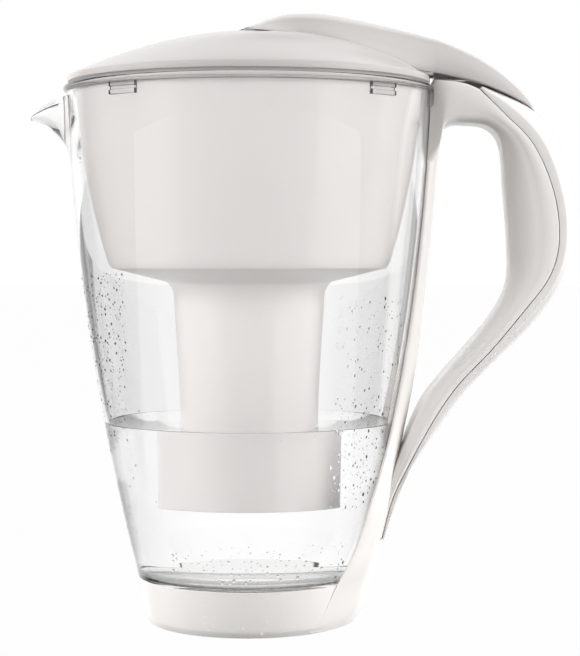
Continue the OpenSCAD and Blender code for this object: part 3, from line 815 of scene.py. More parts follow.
@dataclass
class Handle:
    """The white moulding: base cup, back strap and grip, with the spine cover over the grip."""

    jug: Jug
    cup_r_foot: float = 45.5
    cup_wall: float = 2.4
    strap_stand: float = 5.2
    strap_edge: float = 0.8
    gap: float = 0.3
    half_w: float = 13.2
    groove: float = 0.35
    # Rows of the strap from the table up: height, half width, share of its full stand-off
    strap_rows: tuple = ((1.2, 37.5, 0.3), (9.3, 35.4, 0.82), (22.5, 32.4, 1), (36.6, 28, 1.2),
                         (54.8, 24.8, 1.25), (70, 20.5, 1), (86.7, 16, 1), (112, 12, 1.1), (140, 10, 1),
                         (180, 9.6, 0.9), (220.4, 9.6, 0.9))
    # Lines of the grip's side view from the head down, as (reach from the wall, drop below the rim)
    crease: tuple = ((21, 1.6), (32.9, 12.9), (46.4, 26.4), (56.8, 47), (61.4, 68), (59.3, 84.8),
                     (49.6, 100.7), (37.6, 118.1), (25.4, 133.6), (17.4, 148.8), (10, 169.4), (5.6, 186),
                     (5, 203))
    crown: tuple = ((23.4, -0.2), (44.7, 8.6), (58.6, 24.9), (66.9, 47.4), (70.1, 68.4), (67.1, 87.6),
                    (56.9, 105.4), (43.2, 121.6), (30.7, 137.2), (22.2, 152.8), (13.4, 171), (10.2, 187.5),
                    (7, 204))
    finger: tuple = ((13.6, 16.4), (25.8, 17.9), (32.6, 26), (35.9, 45.9), (40.1, 70.4), (41.6, 88.4),
                     (36, 103.4), (26.9, 117.2), (17.4, 130.6), (10.5, 142.8), (5.2, 164.4), (2.4, 184),
                     (2, 201))
    # Rungs of the head, from the wall outwards: top point, bottom point, half width
    head: tuple = (((82.6, 245.15), (80.2, 206), 10.4), ((84.6, 245.1), (85.4, 213), 12.0),
                   ((88.6, 244.65), (87.0, 222.4), 13.0), ((93, 244.1), (89.6, 224.8), 13.2),
                   ((97.9, 243.0), (92.5, 225.9), 13.2))
    steps: int = 5

    def at_wall(self, rows: Sequence[Sequence[float]]) -> np.ndarray:
        """Turn a line of the side view into points.

        Args:
            rows: Reach from the wall and drop below the rim.

        Returns:
            The points (x, z) of the smooth line.
        """
        line = curve(rows, self.steps)
        return np.array([(self.jug.wall_r(self.jug.height - drop) + reach, self.jug.height - drop)
                         for reach, drop in line])

    def cup_r(self, z: float) -> float:
        """Outer radius of the base cup at height z."""
        return mix(self.cup_r_foot, self.jug.r_low, (max(z, 0.0) / self.jug.cup_h) ** 0.6)

    def cup(self, skin: Skin) -> None:
        """Add the base cup, turned around the Z axis.

        Args:
            skin: The mesh in the making.
        """
        jug, wall = self.jug, self.cup_wall
        lip = self.cup_r_foot - wall - 1.5
        outline = [(lip, 0.6), (self.cup_r_foot - 0.6, 0.6), (self.cup_r_foot - 0.15, 0.75),
                   (self.cup_r_foot, 1.1)]
        outline += [(self.cup_r(z) - 0.02, z) for z in np.linspace(2.7, jug.cup_h - 0.25, 14)]
        web, groove, roof = jug.spigot_z - 0.1, 38.5, 7.4
        outline += [(jug.r_low - 0.2, jug.cup_h - 0.04), (jug.r_low - 0.5, jug.cup_h),
                    (jug.r_low - wall, jug.cup_h), (jug.r_low - wall, web), (0, web),
                    (0, jug.spigot_z - wall), (self.cup_r(jug.spigot_z) - 2 * wall, jug.spigot_z - wall),
                    (groove + 2.8, roof), (groove, roof), (groove, 5.0), (lip, 5.0), (lip, 0.6)]
        skin.lathe(outline, 192)

    def strap(self, skin: Skin) -> None:
        """Add the strap that runs up the back of the jug.

        Args:
            skin: The mesh in the making.
        """
        upper, lower = [], []
        shares = np.sin(np.linspace(-1, 1, 41) * math.pi / 2)
        for z, half_w, stand in curve(self.strap_rows, 4):
            above = z > self.jug.cup_h
            under = self.jug.wall_r(z) + self.gap if above else self.cup_r(z)
            edge = self.strap_edge * smooth_step((z - 4) / (self.jug.cup_h + 8)) - 0.3 * (z < 4)
            skin_r = under + edge
            base = under if above else under - self.cup_wall / 2
            half_turn = math.asin(half_w / skin_r)
            power = mix(1.9, 0.7, smooth_step((z - 6) / (self.jug.cup_h + 4)))
            rise = stand * self.strap_stand - edge
            upper.append([(r * math.cos(s * half_turn), r * math.sin(s * half_turn), z)
                          for s in shares for r in [skin_r + rise * max(1 - s * s, 0) ** power]])
            lower.append([(base * math.cos(s * half_turn), base * math.sin(s * half_turn), z)
                          for s in shares])
        skin.closed_sheet(np.array(upper), np.array(lower))

    def rung(self, top: np.ndarray, low: np.ndarray, half_w: float, r_top: float, hug: bool,
             round_in: float = 0.0) -> np.ndarray:
        """Return the closed section of the grip between two points of its side view.

        Args:
            top: Outer point (x, z).
            low: Point on the fingers' side.
            half_w: Half width of the section.
            r_top: Rounding of the outer corners.
            hug: Whether the section follows the wall and the rim.
            round_in: Share of the broad rounding on the fingers' side.

        Returns:
            The points of the section.
        """
        length = float(np.hypot(*(low - top)))
        tight = min(4.2, 0.42 * length)
        r_low = mix(tight, 0.62 * length, round_in)
        depth = mix(tight, min(8.0, 0.5 * length), round_in)
        side = [(0.0, half_w * k / 5 * (1 - r_top / half_w)) for k in range(5)]
        side += [(u, y) for y, u in arc(half_w - r_top, r_top, r_top, -90, 0, 4)]
        for k in range(1, 9):
            t = k / 9
            side.append((mix(r_top, length - r_low, t), half_w + 0.35 * 4 * t * (1 - t)))
        side += [(length - r_low + r_low * math.sin(a), half_w - depth + depth * math.cos(a))
                 for a in np.linspace(0, math.pi / 2, 11)]
        side += [(length + 0.3 * (1 - (y / half_w) ** 2), y)
                 for y in np.linspace(half_w - depth, 0, 6)[1:]]
        loop = [(u, y) for u, y in side] + [(u, -y) for u, y in reversed(side[1:-1])]
        points = []
        for u, y in loop:
            x, z = top + (low - top) * (u / length)
            if hug:
                r = self.jug.flange_r + self.gap if z > 236 else self.jug.wall_r(z) + self.gap
                x = math.sqrt(r * r - y * y)
            points.append((x, y, z))
        return np.array(points)

    def grip(self, skin: Skin) -> None:
        """Add the head and the grip.

        Args:
            skin: The mesh in the making.
        """
        crease, finger = self.at_wall(self.crease), self.at_wall(self.finger)
        head = curve([(*top, *low, w) for top, low, w in self.head]
                     + [(*crease[0], *finger[0], self.half_w)], 3)
        sections = []
        for k, row in enumerate(head[:-1]):
            sections.append(self.rung(row[:2], row[2:4], row[4], 1.2, k == 0))
        for k, (top, low) in enumerate(zip(crease, finger)):
            share = smooth_step(k / 12)
            sections.append(self.rung(top, low, self.half_w, mix(1.2, 0.3, min(1, k / 3)), False,
                                      share))
        skin.bar(sections)

    def spine(self, skin: Skin) -> None:
        """Add the spine cover on the back of the grip.

        Args:
            skin: The mesh in the making.
        """
        crease, crown = self.at_wall(self.crease), self.at_wall(self.crown)
        shares = np.sin(np.linspace(-1, 1, 33) * math.pi / 2)
        upper, lower = [], []
        for inner, outer in zip(crease, crown):
            depth = max(float(np.hypot(*(outer - inner))), 0.01)
            inner = inner + (outer - inner) * min(0.3, self.groove / depth)
            rises = [mix(0.35, 1, max(1 - s * s, 0) ** 0.7) for s in shares]
            upper.append([(mix(inner[0], outer[0], r), s * (self.half_w + 0.1), mix(inner[1], outer[1], r))
                          for s, r in zip(shares, rises)])
            lower.append([(inner[0], s * (self.half_w - 0.2), inner[1]) for s in shares])
        skin.closed_sheet(np.array(upper), np.array(lower))

    def build(self, finishes: Finishes) -> None:
        """Build the moulding and the spine cover, and dress the foot ring.

        Args:
            finishes: The materials.
        """
        moulding = Skin()
        self.cup(moulding)
        self.strap(moulding)
        self.grip(moulding)
        dress(moulding.make("handle_moulding", 38), "jug_body", ["handle_frame"],
              finishes.get("white_abs"))
        cover = Skin()
        self.spine(cover)
        dress(cover.make("handle_spine_cover", 40), "jug_body", ["handle_spine"],
              finishes.get("crown_abs"))
        dress_node("foot_ring", finishes.get("foot_rubber"))


# Hopper and cartridge


@dataclass
class Hopper:
    """The milky hopper: a bowl that hangs in the rim and a tube for the cartridge."""

    jug: Jug
    wall: float = 2.0
    low_z: float = 163.1
    seat_z: float = 156.7
    tube_z: float = 56.0
    flare_z: tuple = (100.4, 150.5)
    flare: float = 2.1
    cone_z: float = 161.0
    r_low: float = 63.7
    bow: float = 2.15
    rim_gap: float = 1.4
    flange: float = 1.6
    flange_r: float = 80.3
    seat_r: float = 36.0

    def bowl_r(self, z: float) -> float:
        """Return the bowl's size.

        Args:
            z: Height above the table.

        Returns:
            Outer radius at that height.
        """
        t = (z - self.low_z) / (self.jug.ledge_z - self.low_z)
        top = self.jug.wall_r(self.jug.ledge_z) - self.jug.wall - self.rim_gap
        return mix(self.r_low, top, t) + 4 * self.bow * t * (1 - t)

    def tube_r(self, z: float) -> float:
        """Inner radius of the tube at height z."""
        return mix(28.8, 30.4, (z - self.tube_z) / (self.seat_z - self.tube_z))

    def build(self, finishes: Finishes) -> None:
        """Build the hopper, turned around the Z axis.

        Args:
            finishes: The materials.
        """
        w, seat, top = self.wall, self.seat_z, self.jug.ledge_z
        low, high = self.flare_z
        tube = [(self.tube_r(z) + w + self.flare * max(0.0, (z - low) / (high - low)) ** 1.15, z)
                for z in [*np.linspace(self.tube_z + 0.6, low, 6), *np.linspace(low, high, 9)[1:]]]
        bowl = [(self.bowl_r(z), z) for z in np.linspace(self.low_z, top - 0.6, 24)]
        inside = [(self.bowl_r(z) - w, z) for z in np.linspace(top + 0.8, self.low_z + 2, 24)]
        outline = rounded([
            (self.tube_r(self.tube_z), self.tube_z), (self.tube_r(self.tube_z) + w, self.tube_z, 0.6), *tube,
            (self.seat_r + 1, seat - w, 1.2), (self.r_low - 1.4, self.cone_z, 0.5), *bowl,
            (bowl[-1][0], top, 0.3), (self.flange_r, top, 0.3), (self.flange_r, top + self.flange, 0.5),
            (inside[0][0], top + self.flange, 0.4), *inside, (self.r_low - w - 1.7, self.low_z - 0.4, 2.2),
            (self.seat_r + 3, seat + 1.6, 1.5), (self.seat_r + 1, seat, 0.5), (self.tube_r(seat), seat, 0.6),
            (self.tube_r(self.tube_z), self.tube_z)], 5)
        skin = Skin()
        skin.lathe(outline, 160)
        dress(skin.make("milky_hopper", 32), "hopper_body", ["hopper"], finishes.get("milky_pp"))


@dataclass
class Cartridge:
    """The filter cartridge, whose parts keep their CAD shapes."""

    parts: tuple = (("cartridge_shell", "cartridge_pp"), ("cartridge_cap", "cartridge_pp"),
                    ("cartridge_seal", "silicone"), ("inlet_mesh", "cloth"), ("outlet_mesh", "cloth"),
                    ("filter_media", "filling"))

    def build(self, finishes: Finishes) -> None:
        """Dress the parts.

        Args:
            finishes: The materials.
        """
        for node, finish in self.parts:
            dress_node(node, finishes.get(finish))


# Lid and flap


@dataclass
class Lid:
    """The domed lid with its filling hole, hinge cradle and the low shoulder beside the flap."""

    jug: Jug
    radius: float = 81.6
    edge_z: float = 243.9
    band: float = 2.6
    rise: float = 21.0
    power: float = 1.8
    wall: float = 2.2
    skirt_r: float = 78.4
    skirt_wall: float = 1.8
    skirt_z: float = 241.2
    trough_r: float = 6.2
    trough_half: float = 11.3
    ear_half: float = 15.5
    hinge_drop: float = 2.5
    hole_inset: float = 6.0
    # The filling hole runs from this x to this far from the lid's edge
    hole_x: float = 10.4
    hole_rim: float = 8.0
    shoulder: float = 2.6
    columns: int = 192
    # Line of the shoulder's crest: x, distance from the middle, share of its height
    crest: tuple = ((-30, 44, 0), (-8, 44, 0.3), (8, 42, 0.8), (23, 38, 1), (43.5, 30, 1.05), (59, 22, 0.85),
                    (70, 17.5, 0.6), (82, 14, 0.3))

    @property
    def dome_z(self) -> float:
        """Height where the dome starts."""
        return self.edge_z + self.band

    @property
    def hinge_z(self) -> float:
        """Height of the hinge's axis."""
        return self.dome_z + self.rise - self.hinge_drop

    def dome(self, r: float) -> float:
        """Height of the plain dome at distance r from the axis."""
        return self.dome_z + self.rise * (1 - min(r / self.radius, 1) ** self.power)

    def shoulder_rise(self, x: float, y: float) -> float:
        """Return how far the shoulder stands above the plain dome.

        Args:
            x: Place along the handle line.
            y: Place across it.

        Returns:
            The height in millimetres.
        """
        xs = [c[0] for c in self.crest]
        if x < xs[0]:
            return 0.0
        side = float(np.interp(x, xs, [c[1] for c in self.crest]))
        height = float(np.interp(x, xs, [c[2] for c in self.crest])) * self.shoulder
        away = abs(y) - side
        spread = 2.4 if away < 0 else 11.0
        fade = smooth_step((self.radius - math.hypot(x, y)) / 12)
        return height * math.exp(-((away / spread) ** 2)) * fade

    def top(self, x: float, y: float) -> float:
        """Height of the lid's upper side."""
        return self.dome(math.hypot(x, y)) + self.shoulder_rise(x, y)

    def shell(self) -> bpy.types.Object:
        """Build the dome with its band and skirt.

        Returns:
            The dome before it is cut.
        """
        inner = self.skirt_r - self.skirt_wall
        # Radius, height (None where the dome gives it), whether it is the underside
        rows = [(r, z, False) for r, z in (
            (inner, self.skirt_z), (self.skirt_r - 0.3, self.skirt_z), (self.skirt_r, self.skirt_z + 0.3),
            (self.skirt_r, self.edge_z), (self.radius - 0.4, self.edge_z),
            (self.radius - 0.1, self.edge_z + 0.1), (self.radius, self.edge_z + 0.4),
            (self.radius, self.dome_z - 0.3), (self.radius - 0.12, self.dome_z))]
        rows += [((self.radius - 0.3) * (1 - k / 52), None, False) for k in range(53)]
        rows += [(inner * k / 30, None, True) for k in range(31)]
        rows.append((inner, self.skirt_z, False))
        points = np.zeros((len(rows), self.columns, 3))
        for i, (r, z, under) in enumerate(rows):
            for j in range(self.columns):
                a = 2 * math.pi * j / self.columns
                x, y = -r * math.cos(a), r * math.sin(a)
                height = z or (self.dome(r) - self.wall if under else self.top(x, y))
                points[i, j] = (x, y, height)
        skin = Skin()
        skin.grid(points, True)
        return skin.make("lid_dome", 30)

    def tool(self, rows: Sequence) -> bpy.types.Object:
        """Build a closed bar that cuts or joins.

        Args:
            rows: Rows of points, each all round the bar.

        Returns:
            The bar.
        """
        skin = Skin()
        skin.bar(rows)
        return skin.make("tool", 30)

    def cradle(self) -> bpy.types.Object:
        """Build the block under the hinge.

        Returns:
            The block.
        """
        half, ear, low = self.trough_r + 2, self.ear_half, self.hinge_z - self.trough_r - self.wall
        corners = ((-half, -ear), (half, -ear), (half, ear), (-half, ear))
        return self.tool([[(x, y, z) for x, y in corners] for z in (low, self.hinge_z + 0.4)])

    def trough(self) -> bpy.types.Object:
        """Build the rod along the hinge's axis, whose space the flap's knuckle turns in.

        Returns:
            The rod.
        """
        turns = np.linspace(0, 2 * math.pi, 64, endpoint=False)
        return self.tool([[(self.trough_r * math.cos(a), y, self.hinge_z + self.trough_r * math.sin(a))
                           for a in turns] for y in (-self.trough_half, self.trough_half)])

    def build(self, finishes: Finishes, hole_outline: Sequence[tuple[float, float]]) -> None:
        """Build the lid around the filling hole, and dress the hinge pin.

        Args:
            finishes: The materials.
            hole_outline: The hole's outline seen from above, which the flap gives.
        """
        dome = self.shell()
        cut(dome, self.cradle(), "UNION")
        cut(dome, self.tool([[(x, y, z) for x, y in hole_outline] for z in (200.0, 300.0)]))
        cut(dome, self.trough())
        dome.data.set_sharp_from_angle(angle=math.radians(30))
        dome.name = "domed_lid"
        # The lid wears the white ABS darkened to grey as painted shade
        dress(dome, "lid_body", ["lid_shell"], finishes.get("lid_abs"))
        dress_node("flap_hinge_pin", finishes.get("steel"))


@dataclass
class Flap:
    """The hinged flap: a drop-shaped arch over the filling hole, with a tail over the handle."""

    lid: Lid
    rise: float = 32.69
    half_w: float = 33.5
    wall: float = 2.2
    gap: float = 0.4
    tail_gap: float = 2.2
    knuckle_r: float = 3.5
    knuckle_half: float = 10.4
    steps: int = 5
    columns: int = 20
    # Rows over the lid: share of its radius, of the rise above the rim, of the half width
    over_lid: tuple = ((0.045, 0.862, 0.42), (0.1, 0.912, 0.66), (0.185, 0.972, 0.88), (0.295, 0.997, 1),
                       (0.44, 0.98, 0.97), (0.61, 0.908, 0.82), (0.78, 0.82, 0.64), (0.93, 0.731, 0.5))
    # Rows past the lid's edge: reach, crown above the rim, half width, underside above the rim
    tail: tuple = ((1, 22.1, 14.4, 3.3), (8.3, 19.7, 13.6, 2.0), (21, 13.9, 12.6, -0.9),
                   (31.9, 6.9, 10.8, -4.9), (40.3, -0.4, 8.6, -8.8), (44.8, -5.9, 6.4, -11.4),
                   (47.4, -10.4, 3.8, -14.1))
    # Rib under the tail, which closes the gap above the handle: half width, x from and to, underside, and
    # how high it stands at either end
    rib: tuple = (4.0, 83.3, 98.0, 245.6)
    rib_rise: tuple = (4.5, 2.0)
    # Nose in front of the hinge: x, crown height, half width
    nose: tuple = ((-4.3, 267.7, 5), (-3.3, 268.1, 7.5), (-1, 269.0, 9.8), (1.4, 269.85, 10.9))

    def rows(self) -> list[tuple[float, float, float, Optional[float]]]:
        """List the flap's rows from its nose to the end of its tail.

        Returns:
            Rows of x, crown height, half width and underside height, which is None over the lid.
        """
        lid, height = self.lid, self.lid.jug.height
        out = [(x, z, w, None) for x, z, w in self.nose]
        out += [(r * lid.radius, height + z * self.rise, w * self.half_w, None)
                for r, z, w in curve(self.over_lid, self.steps)]
        out += [(lid.radius + x, height + z, w, height + low + self.tail_gap)
                for x, z, w, low in curve(self.tail, self.steps)]
        return out

    def arch(self, row: tuple[float, float, float, Optional[float]], inset: float, lift: float) -> list:
        """Return the points across one row.

        Args:
            row: One of the rows.
            inset: How far the arch is drawn in.
            lift: How far its edges are lifted.

        Returns:
            The points from its +Y edge over the crown to its -Y edge.
        """
        x, crown, half_w, under = row
        w = half_w - inset
        low = self.lid.dome(math.hypot(x, w)) + self.gap if under is None else under
        low += min(lift, (crown - low) / 3)
        top = crown - min(inset, (crown - low) / 3)
        turns = np.linspace(math.pi / 2, -math.pi / 2, 2 * self.columns + 1)
        return [(x, w * math.sin(a), mix(low, top, max(math.cos(a), 0.0) ** 0.8)) for a in turns]

    def hole_outline(self) -> list[tuple[float, float]]:
        """Draw the filling hole under the flap.

        Returns:
            Its outline seen from above, as points (x, y).
        """
        start, end = self.lid.hole_x, self.lid.radius - self.lid.hole_rim
        inside = [r for r in self.rows() if r[3] is None and start < r[0] < end]
        side = [(x, w - self.lid.hole_inset) for x, _, w, _ in inside]
        return side + [(x, -y) for x, y in reversed(side)]

    def build(self, finishes: Finishes) -> None:
        """Build the flap and dress its liner.

        Args:
            finishes: The materials.
        """
        rows = self.rows()
        skin = Skin()
        upper = np.array([self.arch(r, 0, 0.7) for r in rows])
        lower = np.array([self.arch(r, min(self.wall, r[2] * 0.2), 0.0) for r in rows])
        lip = np.array([self.arch(r, 0.45, 0.12) for r in rows])
        skin.grid(upper)
        skin.grid(lower)
        for side in (0, -1):
            skin.grid(np.array([upper[:, side], lip[:, side], lower[:, side]]))
        for end in (0, -1):
            skin.grid(np.array([upper[end], lower[end]]))
            for side in (0, -1):
                skin.cap(np.array([upper[end, side], lip[end, side], lower[end, side]]))
        half, x0, x1, z0 = self.rib
        high, low = self.rib_rise
        feet = [(x0, -half, high), (x1, -half, low), (x1, half, low), (x0, half, high)]
        skin.bar([[(x, y, z0) for x, y, _ in feet], [(x, y, z0 + rise) for x, y, rise in feet]])
        turns = np.linspace(0, 2 * math.pi, 40, endpoint=False)
        skin.bar([[(self.knuckle_r * math.cos(a), y, self.lid.hinge_z + self.knuckle_r * math.sin(a))
                   for a in turns] for y in (-self.knuckle_half, self.knuckle_half)])
        # The flap and its liner wear the same white ABS darkened to grey as painted shade
        dress(skin.make("flip_flap", 40), "flap_body", ["flap_shell"],
              finishes.get("lid_abs"))
        dress_node("flap_liner", finishes.get("lid_abs"))


# Water, floor, light and camera


@dataclass
class Filling:
    """The filtered water in the jug, which is not part of the jug."""

    jug: Jug
    level: float = 92.0
    # How far it reaches into the wall, so that no air shows between them
    bite: float = 0.4

    def build(self, finishes: Finishes) -> None:
        """Build the water.

        Args:
            finishes: The materials.
        """
        jug = self.jug
        outline = jug.bottom(self.bite)[::-1]
        outline += [(jug.wall_r(z) - jug.wall + self.bite, z)
                    for z in np.linspace(jug.floor_z + 6, self.level, 24)]
        edge = jug.wall_r(self.level) - jug.wall
        outline += [(edge - 0.4, self.level - 0.2), (edge - 1.2, self.level - 0.3), (0, self.level - 0.3)]
        skin = Skin()
        skin.lathe(outline, jug.columns)
        dress(skin.make("water", 30), "jug_body", [], finishes.get("water"))


@dataclass
class Droplets:
    """Drops of condensed and splashed water on the jug, the base cup and the grip."""

    # Fields seen from the front: piece, x from and to, z from and to, tries, smallest and largest radius
    fields: tuple = (("clear_jug_shell", 38, 68, 62, 150, 330, 0.2, 0.7),
                     ("clear_jug_shell", 36, 60, 56, 92, 130, 0.25, 1.0),
                     ("clear_jug_shell", -75, -52, 84, 160, 620, 0.18, 0.65),
                     ("clear_jug_shell", -66, -48, 40, 96, 90, 0.16, 0.5),
                     ("clear_jug_shell", -34, 42, 25, 42, 190, 0.22, 0.8),
                     ("clear_jug_shell", -64, 60, 60, 100, 60, 0.15, 0.4),
                     ("handle_moulding", -20, 24, 3, 20, 90, 0.3, 0.65),
                     ("handle_moulding", 82, 100, 90, 160, 60, 0.2, 0.6),
                     ("handle_moulding", 118, 140, 150, 195, 70, 0.2, 0.7),
                     ("handle_spine_cover", 118, 146, 150, 190, 20, 0.2, 0.5))
    # Rings of one drop, as shares of the way from its edge to its top
    rings: tuple = (0.0, 0.18, 0.45, 0.75, 0.95)
    # Least distance between two drops, as a share of the sum of their radii
    spacing: float = 1.5
    # How far a drop sinks into the surface
    sunk: float = 0.04
    # Where the rays start, in metres, and how far a surface has to face them, as its normal's y
    ray_y: float = -0.3
    facing: float = -0.12
    seed: int = 5
    flatness: float = 0.75
    columns: int = 10

    def drop(self, skin: Skin, place: Vector, normal: Vector, radius: float, sag: float) -> None:
        """Add one drop, a flattened cap that sags a little.

        Args:
            skin: The mesh in the making.
            place: Middle of the drop in millimetres.
            normal: Which way the surface faces.
            radius: Radius of the drop.
            sag: How far its lower half hangs, as a share.
        """
        side = normal.cross(Vector((0, 0, 1))).normalized()
        up = side.cross(normal)
        rows = []
        for share in self.rings:
            reach = radius * math.cos(share * math.pi / 2)
            height = radius * self.flatness * math.sin(share * math.pi / 2)
            ring = []
            for k in range(self.columns):
                a = 2 * math.pi * k / self.columns
                drift = sag * math.sin(a) if math.sin(a) < 0 else 0.0
                ring.append(tuple(place + side * reach * math.cos(a) + up * reach * (math.sin(a) + drift)
                                  + normal * (height - self.sunk)))
            rows.append(ring)
        skin.bar(rows)

    def build(self, finishes: Finishes) -> None:
        """Scatter the drops where the front of each piece is hit.

        Args:
            finishes: The materials.
        """
        chance = random.Random(self.seed)
        skin = Skin()
        graph = bpy.context.evaluated_depsgraph_get()
        trees = {name: BVHTree.FromObject(bpy.data.objects[name], graph)
                 for name in {row[0] for row in self.fields}}
        placed: list[tuple[float, float, float]] = []
        for name, x0, x1, z0, z1, count, small, large in self.fields:
            for _ in range(count):
                x, z = chance.uniform(x0, x1), chance.uniform(z0, z1)
                radius = small + (large - small) * chance.random() ** 2.5
                hit = trees[name].ray_cast(Vector((x * MM, self.ray_y, z * MM)), Vector((0, 1, 0)))
                near = any(abs(x - a) + abs(z - b) < self.spacing * (radius + c) for a, b, c in placed)
                if hit[0] is None or near or hit[1].y > self.facing:
                    continue
                placed.append((x, z, radius))
                self.drop(skin, hit[0] / MM, hit[1].normalized(), radius, chance.uniform(0, 0.5) * radius)
        dress(skin.make("water_droplets", 60), "jug_body", [], finishes.get("water"))


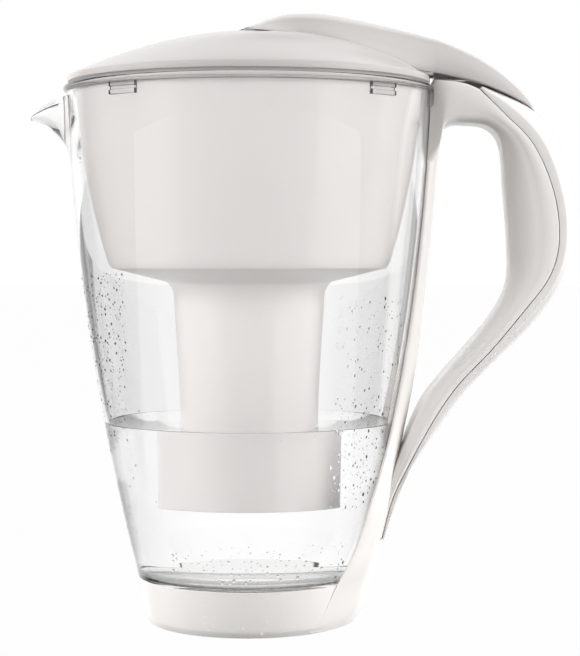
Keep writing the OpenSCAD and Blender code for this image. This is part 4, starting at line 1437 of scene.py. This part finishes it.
@dataclass
class Studio:
    """White floor and backdrop, dark flags for the clear edges, soft lamps and the camera."""

    eye: tuple = (18.56, -845.2, 166.92)
    tilt: float = 2.256
    focal_px: float = 1859.7
    frame_px: tuple = (580, 656)
    # The room from the camera's side (0) to the backdrop (1), as it lights the jug: place, level
    light: tuple = ((0.0, 0.55), (0.25, 0.58), (0.5, 0.8), (0.75, 1.0), (1.0, 1.0))
    # The same room as clear and glossy pieces show it, with dark flags beside the backdrop
    room: tuple = ((0.0, 0.9), (0.2, 0.7), (0.38, 0.06), (0.78, 0.06), (0.89, 1.1), (1.0, 1.1))
    # Name, place, aim, size and power of each lamp
    lamps: tuple = (("lamp_left", (-1700, -480, 300), (0, 0, 130), (1600, 1600), 46.0),
                    ("lamp_right", (1700, -430, 300), (0, 0, 130), (1600, 1600), 50.0))

    floor_half_m: float = 9.0
    floor_z_m: float = -5e-5
    # The lit paper on the floor: its half width grows by these shares of the way to the back and to the
    # front, and its edge is soft between two distances in metres
    paper_spread: tuple = (0.24, -4.0)
    paper_edge: tuple = (0.16, 0.29)
    floor_tones: tuple = ("303030", "808080")
    # What is left of the floor's own shading, which is the jug's shadow
    shadow_share: float = 0.015

    def seen_share(self, tree: bpy.types.NodeTree) -> bpy.types.NodeSocket:
        """Find the rays that show a surface to the eye.

        Args:
            tree: The node tree.

        Returns:
            A socket that is 1 for rays that see straight, mirrored or through glass, and else 0.
        """
        path = add_node(tree, "LightPath")
        a = add_node(tree, "Math", {"operation": "MAXIMUM"}, in_0=path.outputs["Is Camera Ray"],
                     in_1=path.outputs["Is Glossy Ray"])
        b = add_node(tree, "Math", {"operation": "MAXIMUM"}, in_0=a.outputs[0],
                     in_1=path.outputs["Is Transmission Ray"])
        return b.outputs[0]

    def world(self) -> None:
        """Make the room: a bright backdrop, dark flags beside it and a dim side behind the camera."""
        world = bpy.data.worlds.new("studio")
        world.use_nodes = True
        tree = world.node_tree
        tree.nodes.clear()
        way = add_node(tree, "SeparateXYZ", None, in_0=add_node(tree, "TexCoord").outputs["Generated"])
        depth = add_node(tree, "MapRange", None, Value=way.outputs["Y"], From_Min=-1.0, From_Max=1.0)
        sides = []
        for levels in (self.light, self.room):
            ramp = add_node(tree, "ValToRGB", None, Fac=depth.outputs["Result"])
            stops = ramp.color_ramp.elements
            for k, (place, level) in enumerate(levels):
                stop = stops[k] if k < 2 else stops.new(place)
                stop.position, stop.color = place, (level, level, level, 1)
            sides.append(add_node(tree, "Background", None, Color=ramp.outputs["Color"], Strength=1.0))
        both = add_node(tree, "MixShader", None, in_0=self.seen_share(tree), in_1=sides[0].outputs[0],
                        in_2=sides[1].outputs[0])
        white = add_node(tree, "Background", None, Color=linear("ffffff"), Strength=1.0)
        plain = add_node(tree, "MixShader", None, in_0=add_node(tree, "LightPath").outputs["Is Camera Ray"],
                         in_1=both.outputs[0], in_2=white.outputs[0])
        add_node(tree, "OutputWorld", None, Surface=plain.outputs[0])
        bpy.context.scene.world = world

    def floor(self) -> None:
        """Make the floor, which shows white and keeps a soft shadow."""
        mesh = bpy.data.meshes.new("floor")
        half, z = self.floor_half_m, self.floor_z_m
        mesh.from_pydata([(-half, -half, z), (half, -half, z), (half, half, z), (-half, half, z)], [],
                         [(0, 1, 2, 3)])
        floor = bpy.data.objects.new("floor", mesh)
        bpy.context.scene.collection.objects.link(floor)
        material, tree = new_material("paper_floor_matt")
        place = add_node(tree, "SeparateXYZ", None, in_0=add_node(tree, "TexCoord").outputs["Object"])
        aside = add_node(tree, "Math", {"operation": "ABSOLUTE"}, in_0=place.outputs["X"])
        back, front = [add_node(tree, "Math", {"operation": "MULTIPLY"}, in_0=place.outputs["Y"], in_1=share)
                       for share in self.paper_spread]
        spread = add_node(tree, "Math", {"operation": "MAXIMUM"}, in_0=back.outputs[0], in_1=front.outputs[0])
        reach = add_node(tree, "Math", {"operation": "SUBTRACT"}, in_0=aside.outputs[0],
                         in_1=spread.outputs[0])
        paper = add_node(tree, "MapRange", {"interpolation_type": "SMOOTHSTEP"}, Value=reach.outputs[0],
                         From_Min=self.paper_edge[0], From_Max=self.paper_edge[1], To_Min=1.0, To_Max=0.0)
        whole = add_node(tree, "Math", {"operation": "MAXIMUM"}, in_0=paper.outputs["Result"],
                         in_1=add_node(tree, "LightPath").outputs["Is Camera Ray"])
        tone = add_node(tree, "Mix", {"data_type": "RGBA"}, in_0=paper.outputs["Result"],
                        in_6=linear(self.floor_tones[0]), in_7=linear(self.floor_tones[1]))
        matt = add_node(tree, "BsdfDiffuse", None, Color=tone.outputs[2])
        glow = add_node(tree, "Emission", None, Color=linear("ffffff"), Strength=whole.outputs[0])
        share = add_node(tree, "Math", {"operation": "MULTIPLY"}, in_0=self.seen_share(tree),
                         in_1=1 - self.shadow_share)
        both = add_node(tree, "MixShader", None, in_0=share.outputs[0], in_1=matt.outputs[0],
                        in_2=glow.outputs[0])
        add_node(tree, "OutputMaterial", None, Surface=both.outputs[0])
        mesh.materials.append(material)
        floor.visible_glossy = False

    def lights(self) -> None:
        """Hang the soft lamps."""
        for name, place, aim, size, power in self.lamps:
            data = bpy.data.lights.new(name, "AREA")
            data.shape, data.size, data.size_y, data.energy = "RECTANGLE", size[0] * MM, size[1] * MM, power
            lamp = bpy.data.objects.new(name, data)
            lamp.location = Vector(place) * MM
            lamp.rotation_euler = (Vector(aim) - Vector(place)).to_track_quat("-Z", "Y").to_euler()
            lamp.visible_transmission = lamp.visible_glossy = lamp.visible_camera = False
            bpy.context.scene.collection.objects.link(lamp)

    def camera(self) -> None:
        """Place the camera."""
        data = bpy.data.cameras.new("camera")
        data.sensor_width = 36.0
        data.lens = self.focal_px * data.sensor_width / max(self.frame_px)
        data.clip_start, data.clip_end = 0.05, 30
        camera = bpy.data.objects.new("camera", data)
        camera.location = Vector(self.eye) * MM
        camera.rotation_euler = (math.radians(90 - self.tilt), 0, 0)
        bpy.context.scene.collection.objects.link(camera)
        bpy.context.scene.camera = camera

    def build(self) -> None:
        """Build the studio, with enough bounces to see through wall, water and wall again."""
        self.camera()
        self.world()
        self.floor()
        self.lights()
        scene = bpy.context.scene
        scene.view_settings.view_transform = "Standard"
        scene.cycles.max_bounces, scene.cycles.transmission_bounces = 20, 16
        scene.cycles.transparent_max_bounces = 24


def main() -> None:
    """Build every piece in order."""
    logging.basicConfig(level=logging.INFO, format="%(name)s %(message)s")
    finishes = Finishes()
    Studio().build()
    jug = Jug()
    jug.build(finishes)
    Handle(jug).build(finishes)
    Hopper(jug).build(finishes)
    Cartridge().build(finishes)
    lid = Lid(jug)
    flap = Flap(lid)
    lid.build(finishes, flap.hole_outline())
    flap.build(finishes)
    Filling(jug).build(finishes)
    Droplets().build(finishes)


if __name__ == "__main__":
    main()
